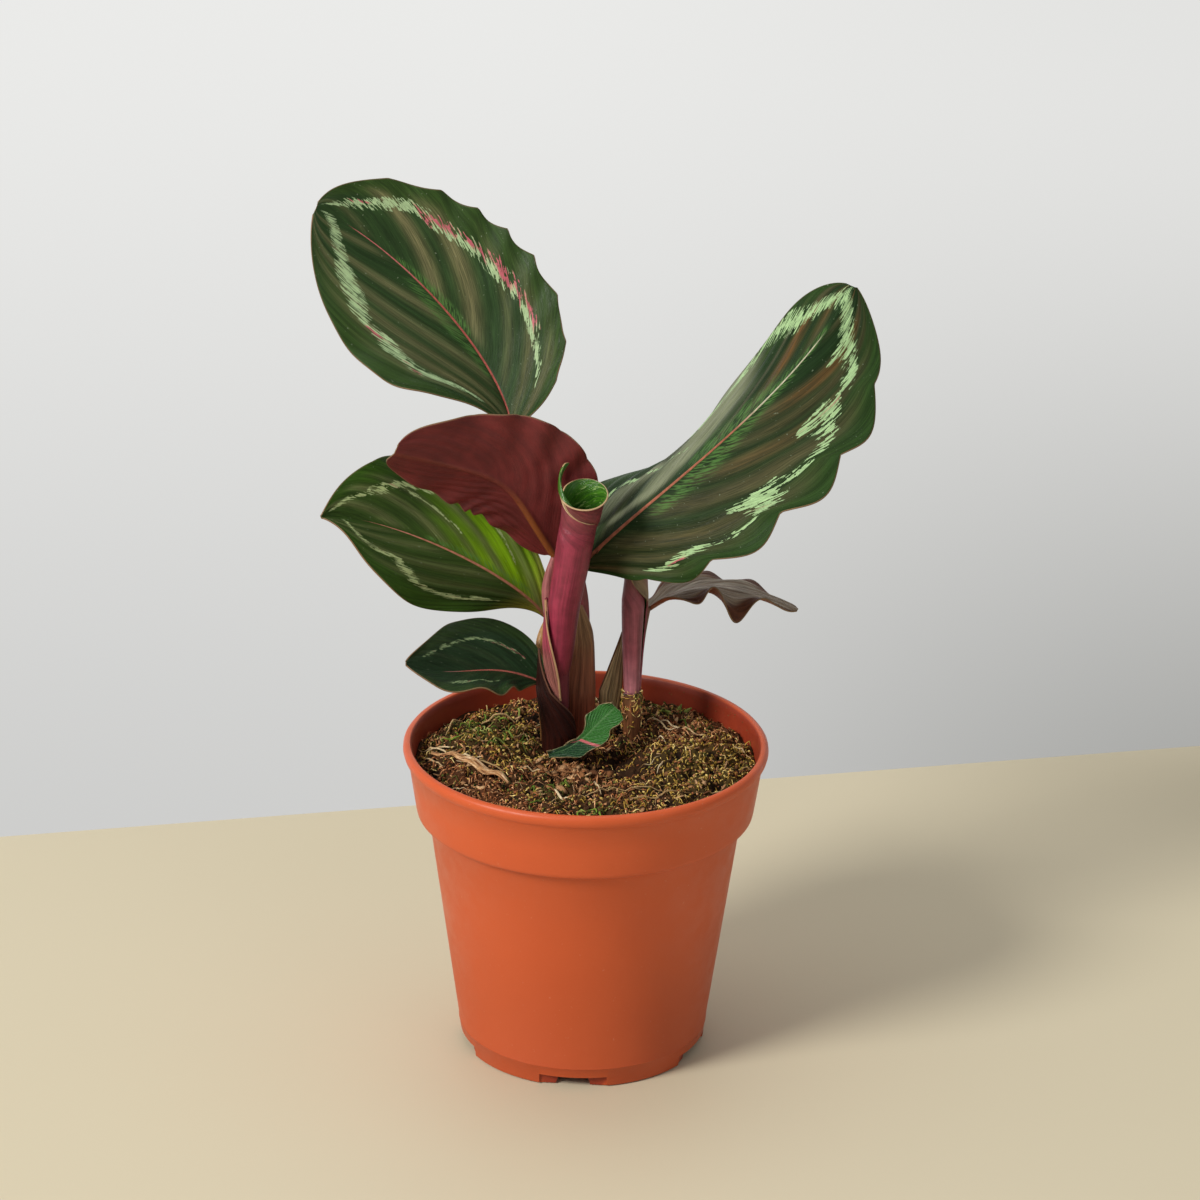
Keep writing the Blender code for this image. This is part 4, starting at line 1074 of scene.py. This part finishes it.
# rolled leaves: the axis, radius, turns, first angle in degrees and tightness go from foot to mouth, the free edge
# stands up by the peak, the mouth climbs by the slant and dips to the front by the tilt, and the colours are at the
# foot, middle and mouth, on the shaded side, beside the free edge and on the edge itself
rolls = {
    "leaf_rolled": dict(
        axis=[(0.0, (-7.3, 6.7, 103.9)), (0.16, (-8.2, 6.2, 115)), (0.48, (-6.6, 3.2, 139)), (0.83,
            (-2.8, -0.5, 165)), (1.0, (-1.5, -2.2, 175.5))],
        radius=[(0.0, 2.2), (0.16, 3.1), (0.3, 4.1), (0.48, 4.9), (0.67, 5.4), (0.85, 5.7), (0.94, 6.2), (1.0, 7.3)],
        turns=[(0.0, 0.93), (0.3, 1.05), (0.65, 1.22), (0.88, 1.22), (0.95, 1.1), (1.0, 1.05)], peak=5.0,
        start=[(0.0, 130.0), (0.74, 130.0), (0.81, 60.0), (0.86, 2.0), (0.91, -45.0), (0.96, -95.0), (1.0, -143.0)],
        tight=[(0.0, 0.15), (0.8, 0.13), (1.0, 0.1)], slant=-1.5, tilt=2.6, grid=(150, 200), thick=0.5,
        slot="rolled_magenta", skin="rolledMagenta",
        colours=((0.14, 0.024, 0.036), (0.27, 0.028, 0.056), (0.2, 0.04, 0.05), (0.13, 0.02, 0.026),
            (0.2, 0.048, 0.048), (0.5, 0.33, 0.17))),
    "leaf_rolled_right": dict(
        axis=[(0.0, (13.5, 14.9, 105.2)), (0.4, (13.5, 16.0, 122)), (0.7, (13.7, 17.0, 134)), (1.0,
            (14.0, 18.0, 145))],
        radius=[(0.0, 2.45), (0.4, 3.4), (0.7, 4.0), (1.0, 3.4)], turns=[(0.0, 0.96), (0.3, 1.12), (1.0, 1.2)],
        start=[(0.0, 112.0), (0.6, 100.0), (0.7, 76.0), (0.9, -20.0), (1.0, -40.0)], tight=[(0.0, 0.32), (1.0, 0.32)],
        peak=0.0, slant=2.0, tilt=0.0, grid=(110, 150), thick=0.5, slot="rolled_plum", skin="rolledPlum",
        colours=((0.46, 0.17, 0.19), (0.27, 0.062, 0.078), (0.2, 0.08, 0.06), (0.24, 0.048, 0.075),
            (0.24, 0.17, 0.09), (0.45, 0.3, 0.14))),
}


def rollPlace(leafRoll, u, v):
    axis, radius = readTable(leafRoll["axis"], u), readTable(leafRoll["radius"], u)
    turns = readTable(leafRoll["turns"], u)
    angle = readTable(leafRoll["start"], u) + v * turns * 360.0
    inward = 1 - readTable(leafRoll["tight"], u) * max(0.0, v * turns - 0.12)
    place = Vector(axis) + fromFront(angle, radius * inward, 0.0)
    peak = leafRoll["peak"] * math.exp(-((v * turns * 360.0 - 14.0) / 38.0) ** 2)
    place.z += (peak + leafRoll["slant"] * v) * u ** 4
    place.z -= leafRoll["tilt"] * math.cos(math.radians(angle)) * u ** 4
    return place, angle


def rollOutside(name, low, middle, top, shaded, wash, edgeTint):
    newMaterial(name, 0.42, 0.45)
    along, turn = mark("along"), mark("turn")
    fine = alongNoise(turn, along, 90.0, 3.0)
    base = colour(spread(along, 0.0, 0.35), low, middle)
    base = colour(spread(along, 0.72, 0.98), base, top)
    base = colour(times(spread(mark("facing"), 0.2, 1.0), 0.5), base, shaded)
    base = colour(times(spread(turn, 0.3, 0.08), spread(along, 0.6, 0.78)), base, wash)
    base = brighten(base, alongNoise(turn, along, 14.0, 2.0), 0.8, 1.2)
    base = brighten(base, fine, 0.9, 1.1)
    base = brighten(base, placeNoise(300.0, 4.0), 0.86, 1.16)
    rim = times(spread(mark("rimGap"), 0.36, 0.1), spread(along, 0.82, 0.9))
    return finishMaterial(colour(rim, base, edgeTint), (fine, 0.00025, 0.7))


def rollInside(name):
    newMaterial(name, 0.28, 0.55)
    along, turn = mark("along"), mark("turn")
    fine = alongNoise(turn, along, 60.0, 3.0)
    base = colour(spread(fine, 0.35, 0.65), (0.022, 0.085, 0.008), (0.065, 0.2, 0.012))
    base = colour(spread(alongNoise(turn, along, 26.0, 30.0), 0.58, 0.7), base, (0.28, 0.42, 0.12))
    return finishMaterial(base, (fine, 0.00025, 0.7))


def makeRoll(name, leafRoll):
    height = leafRoll["axis"][-1][1][2] - leafRoll["axis"][0][1][2]

    def shape(x, y):
        u, v = x * 0.5 + 0.5, y * 0.5 + 0.5
        place, angle = rollPlace(leafRoll, u, v)
        turns = readTable(leafRoll["turns"], u)
        girth = turns * math.tau * readTable(leafRoll["radius"], u)
        return place, dict(along=u, turn=v * turns, facing=math.sin(math.radians(angle)),
                           rimGap=min((1 - u) * height, v * girth, (1 - v) * girth)), None

    outside, inside = rollOutside(leafRoll["skin"], *leafRoll["colours"]), rollInside(leafRoll["skin"] + "Inside")
    makeSheet(name + "_sheet", leafRoll["grid"], shape, leafRoll["thick"], [inside, outside, outside],
              leafRoll["slot"], name)


for rollName, leafRoll in rolls.items():
    makeRoll(rollName, leafRoll)
print("rolled leaves ready")


# sheaths: rows are the height's share, the axis, the radius, and the angles where the sheath starts and ends
# and the look holds its colours at the foot, middle, top and edge, and its roughness and streaks
sheaths = {
    "sheath_front": dict(
        slot="sheath_brown",
        look=("brownSheath", (0.03, 0.005, 0.002), (0.026, 0.004, 0.002), (0.022, 0.005, 0.002), (0.14, 0.06, 0.035)),
        rows=[(0.0, (-8.0, 6.0, 74.4), 4.9, -125, 125), (0.45, (-8.0, 6.0, 96), 4.9, -125, 112), (0.6,
            (-9.0, 6.3, 103), 4.8, -120, 60), (0.76, (-10.0, 6.7, 110), 4.6, -112, -5), (1.0, (-10.8, 7.6, 122), 3.4,
            -88, -72)]),
    "sheath_pink": dict(
        slot="sheath_pink", look=("pinkSheath", (0.3, 0.11, 0.09), (0.36, 0.06, 0.09), (0.34, 0.05, 0.08),
        (0.55, 0.33, 0.17)),
        rows=[(0.0, (-7.5, 6.6, 107), 3.1, -34, -2), (0.2, (-8.1, 6.2, 114), 4.0, -85, 0), (0.5, (-8.0, 4.9, 124),
            4.9, -100, -24), (1.0, (-6.6, 3.2, 139.5), 5.6, -106, -84)]),
    "sheath_middle": dict(
        slot="sheath_olive",
        look=("oliveSheath", (0.26, 0.055, 0.026), (0.26, 0.095, 0.05), (0.3, 0.18, 0.09), (0.34, 0.2, 0.12)),
        rows=[(0.0, (-2.2, 16.0, 74.4), 4.6, -110, 130), (0.55, (-1.9, 16.0, 106), 4.2, -110, 130), (0.8,
            (-1.9, 15.8, 121), 3.5, -75, 110), (1.0, (-2.3, 15.2, 134), 2.9, -20, 10)]),
    "sheath_dry": dict(
        slot="sheath_straw",
        look=("strawSheath", (0.38, 0.26, 0.1), (0.5, 0.37, 0.19), (0.52, 0.4, 0.22), (0.2, 0.1, 0.045), 0.75, 0.3),
        rows=[(0.0, (6.3, 22.8, 74.4), 4.0, -26, 26), (0.35, (6.3, 22.8, 92), 4.0, -32, 32), (0.6, (7.0, 23.0, 103),
            3.6, -60, 62), (1.0, (10.8, 23.0, 122), 2.2, -12, 12)]),
}


def sheathSkin(name, low, middle, top, edgeTint, roughness=0.5, streak=0.2):
    newMaterial(name, roughness, 0.2)
    along, turn = mark("along"), mark("turn")
    fine = alongNoise(turn, along, 70.0, 3.0)
    base = colour(spread(along, 0.3, 0.62), low, middle)
    base = colour(spread(along, 0.62, 0.95), base, top)
    base = brighten(base, alongNoise(turn, along, 12.0, 2.5), 1 - streak * 1.5, 1 + streak * 1.5)
    base = brighten(base, fine, 1 - streak, 1 + streak)
    base = colour(spread(mark("rimGap"), 0.5, 0.12), base, edgeTint)
    return finishMaterial(base, (fine, 0.0003, 0.8))


sheathGrid, sheathThick = (110, 60), 0.6


def makeSheath(name, slot, look, rows):
    def shape(x, y):
        u, v = x * 0.5 + 0.5, y * 0.5 + 0.5
        axis = Vector(readTable([(r[0], r[1]) for r in rows], u))
        radius, first, last = (readTable([(r[0], float(r[k])) for r in rows], u) for k in (2, 3, 4))
        ridge = 0.07 * math.sin(v * 60) + 0.2 * noise.noise(Vector((u * 4, v * 3, radius)))
        place = axis + fromFront(first + (last - first) * v, radius + ridge, 0.0)
        girth = math.radians(last - first) * radius
        return place, dict(along=u, turn=v, rimGap=min(v, 1 - v) * girth), None

    makeSheet(name + "_skin", sheathGrid, shape, sheathThick, [sheathSkin(*look)] * 3, slot, name)


for sheathName, sheath in sheaths.items():
    makeSheath(sheathName, **sheath)


# stalks: the route and the radii from foot to top, and the colours low and high on it
stalks = {
    "petiole_upper_left": dict(
        route=[(-3.4, 18.4, 74.4), (-3.4, 18.6, 92), (-4.0, 23.0, 115), (-6.6, 25.2, 137), (-14.5, 24.0, 162.5)],
        radii=[2.1, 2.1, 1.9, 1.7, 1.5], low=(0.16, 0.05, 0.03), high=(0.3, 0.1, 0.08)),
    "petiole_back_turned": dict(
        route=[(-9.6, 9.6, 74.4), (-9.6, 9.6, 92), (-9.0, 9.6, 107), (-10.2, 10.6, 124), (-12.2, 12.9, 138.4)],
        radii=[1.3, 1.3, 1.3, 1.5, 1.5], low=(0.2, 0.06, 0.035), high=(0.34, 0.11, 0.105)),
    "petiole_left": dict(
        route=[(-12.3, 13.5, 74.4), (-12.3, 13.5, 92), (-13.6, 15.7, 106), (-14.0, 20.6, 118)], radii=[1.4, 1.4, 1.4,
        1.4], low=(0.34, 0.15, 0.045), high=(0.46, 0.24, 0.075)),
    "petiole_low_left": dict(
        route=[(-9.3, 13.5, 74.4), (-9.3, 13.5, 90), (-10.8, 12.7, 101)], radii=[1.0, 1.0, 1.0],
        low=(0.16, 0.06, 0.03), high=(0.2, 0.1, 0.04)),
    "petiole_right": dict(
        route=[(-1.0, 14.4, 74.4), (-1.0, 14.4, 92), (-0.9, 15.2, 118), (-1.3, 14.6, 134)], radii=[1.9, 1.9, 1.7,
        1.6], low=(0.12, 0.04, 0.03), high=(0.2, 0.045, 0.05)),
    "petiole_low_right": dict(
        route=[(15.5, 20.5, 74.4), (15.4, 20.6, 92), (15.2, 22.0, 106), (16.2, 24.2, 119)], radii=[1.1, 1.1, 1.1,
        1.1], low=(0.14, 0.06, 0.03), high=(0.2, 0.08, 0.05)),
    "petiole_rolled": dict(
        route=[(-7.0, 5.6, 74.4), (-7.0, 5.6, 92), (-7.3, 6.7, 103.2)], radii=[1.9, 1.9, 1.9], low=(0.1, 0.025, 0.03),
        high=(0.16, 0.03, 0.05), slot="rolled_magenta"),
    "stem_right": dict(
        route=[(13.5, 14.5, 74.4), (13.5, 14.5, 92), (13.5, 14.9, 104.5)], radii=[2.6, 2.6, 2.6],
        low=(0.15, 0.055, 0.02), high=(0.3, 0.18, 0.09), slot="sheath_brown", streak=0.3),
    "petiole_seedling": dict(
        route=[(1.5, 3.5, 74.4), (1.5, 3.5, 88), (0.5, -0.6, 96.6)], radii=[0.9, 0.9, 0.8], low=(0.12, 0.05, 0.03),
        high=(0.25, 0.14, 0.06)),
}


def stalkSkin(name, low, high, streak):
    newMaterial(name, 0.42, 0.45)
    drawn = addNode("Mapping", {}, Vector=objectPlace(), Scale=(1.0, 1.0, 0.06)).outputs[0]
    fine = addNode("TexNoise", {}, Vector=drawn, Scale=1800.0, Detail=3.0).outputs["Fac"]
    base = colour(spread(objectHeight(), 0.095, 0.13), low, high)
    base = brighten(base, fine, 1 - streak, 1 + streak)
    base = brighten(base, placeNoise(160.0), 0.85, 1.15)
    return finishMaterial(base, (fine, 0.0002, 0.6))


stalkSteps, stalkSides = 8, 6


def makeStalk(name, route, radii, low, high, slot="stalk_red_brown", streak=0.2):
    blade = leaves.get(name.replace("petiole", "leaf"))
    if blade:  # it ends where the blade's rib starts
        route, radii = route + [tuple(ribPoint(blade["rib"], 0.0))], radii + [0.8]
    sizes = [size[0] for size in smoothRoute([(r, 0.0, 0.0) for r in radii], stalkSteps)]
    skin = stalkSkin(name + "Skin", low, high, streak)
    fibrePiece(name + "_stalk", [(smoothRoute(route, stalkSteps), sizes, 0.5)], stalkSides, skin, slot, name)


for stalkName, stalk in stalks.items():
    makeStalk(stalkName, **stalk)
print("stalks ready")


# seedling leaf: its spine from tip to tip, and how wide it is to the near and far side
seedling = dict(
    spine=[(-11.0, -2.6, 92.2), (-5.5, -2.6, 94.4), (-0.5, -2.0, 98.0), (4.2, -0.2, 102.2), (8.6, 2.0, 106.0)],
    near=[(0.0, 0.8), (0.2, 3.0), (0.4, 5.2), (0.56, 6.3), (0.68, 6.0), (0.76, 5.0), (0.85, 5.9), (0.93, 5.2),
        (1.0, 1.8)],
    far=[(0.0, 0.6), (0.2, 1.2), (0.4, 0.7), (0.5, 1.2), (0.6, 2.2), (0.68, 4.0), (0.86, 4.2), (1.0, 1.0)],
    grid=(120, 48), thick=0.3)
seedlingRoute = smoothRoute(seedling["spine"], 24)


def seedlingShape(x, s):
    u = x * 0.5 + 0.5
    place = u * (len(seedlingRoute) - 1)
    i = min(int(place), len(seedlingRoute) - 2)
    here, following = seedlingRoute[i:i + 2]
    along = (following - here).normalized()
    up = Vector((-0.35, -0.7, 0.62))
    up = (up - along * up.dot(along)).normalized()
    half = readTable(seedling["far" if s > 0 else "near"], u)
    bend = 0.9 * abs(s) ** 2 + 0.9 * math.sin(19 * u + 1.5 * s) * abs(s) ** 3
    return here.lerp(following, place - i) + up.cross(along) * (half * s) + up * bend, dict(
        along=u, across=s, vein=u, ribGap=half * s, rimGap=min(half * (1 - abs(s)), 24 * u, 24 * (1 - u))), None


def seedlingLook():
    newMaterial("seedlingGreen", 0.36, 0.25)
    along, across = mark("along"), mark("across")
    side = unsigned(across)
    fine = alongNoise(along, across, 60.0, 8.0)
    crease = plus(along, times(across, 0.12))
    base = colour(spread(crease, 0.4, 0.48), (0.013, 0.046, 0.018), (0.03, 0.135, 0.02))
    pale = spread(alongNoise(along, across, 30.0, 6.0), 0.55, 0.72)
    base = colour(times(pale, 0.3), base, (0.1, 0.24, 0.09))
    base = brighten(base, fine, 0.78, 1.2)
    chevron = addNode("CombineXYZ", {}, X=times(minus(along, times(side, 0.3)), 5.0)).outputs[0]
    ribs = addNode("TexWave", {"bands_direction": "X"}, Scale=1.0, Distortion=3.0, Vector=chevron).outputs["Fac"]
    base = colour(spread(ribs, 0.7, 1.0, (0.0, 0.22)), base, (0.1, 0.24, 0.09))
    base = colour(spread(side, 0.1, 0.02, (0.0, 0.4)), base, (0.16, 0.3, 0.12))
    base = colour(spread(unsigned(minus(crease, 0.44)), 0.025, 0.01), base, (0.55, 0.13, 0.14))
    base = colour(spread(mark("rimGap"), 0.26, 0.06), base, (0.26, 0.27, 0.13))
    return finishMaterial(base, (plus(fine, ribs), 0.0004, 0.7))


makeSheet("seedlingBlade", seedling["grid"], seedlingShape, seedling["thick"],
          [seedlingLook(), leafUnder("seedlingUnder", {}), leafRim("seedlingRim")], "leaf_green", "leaf_seedling")
print("seedling ready")
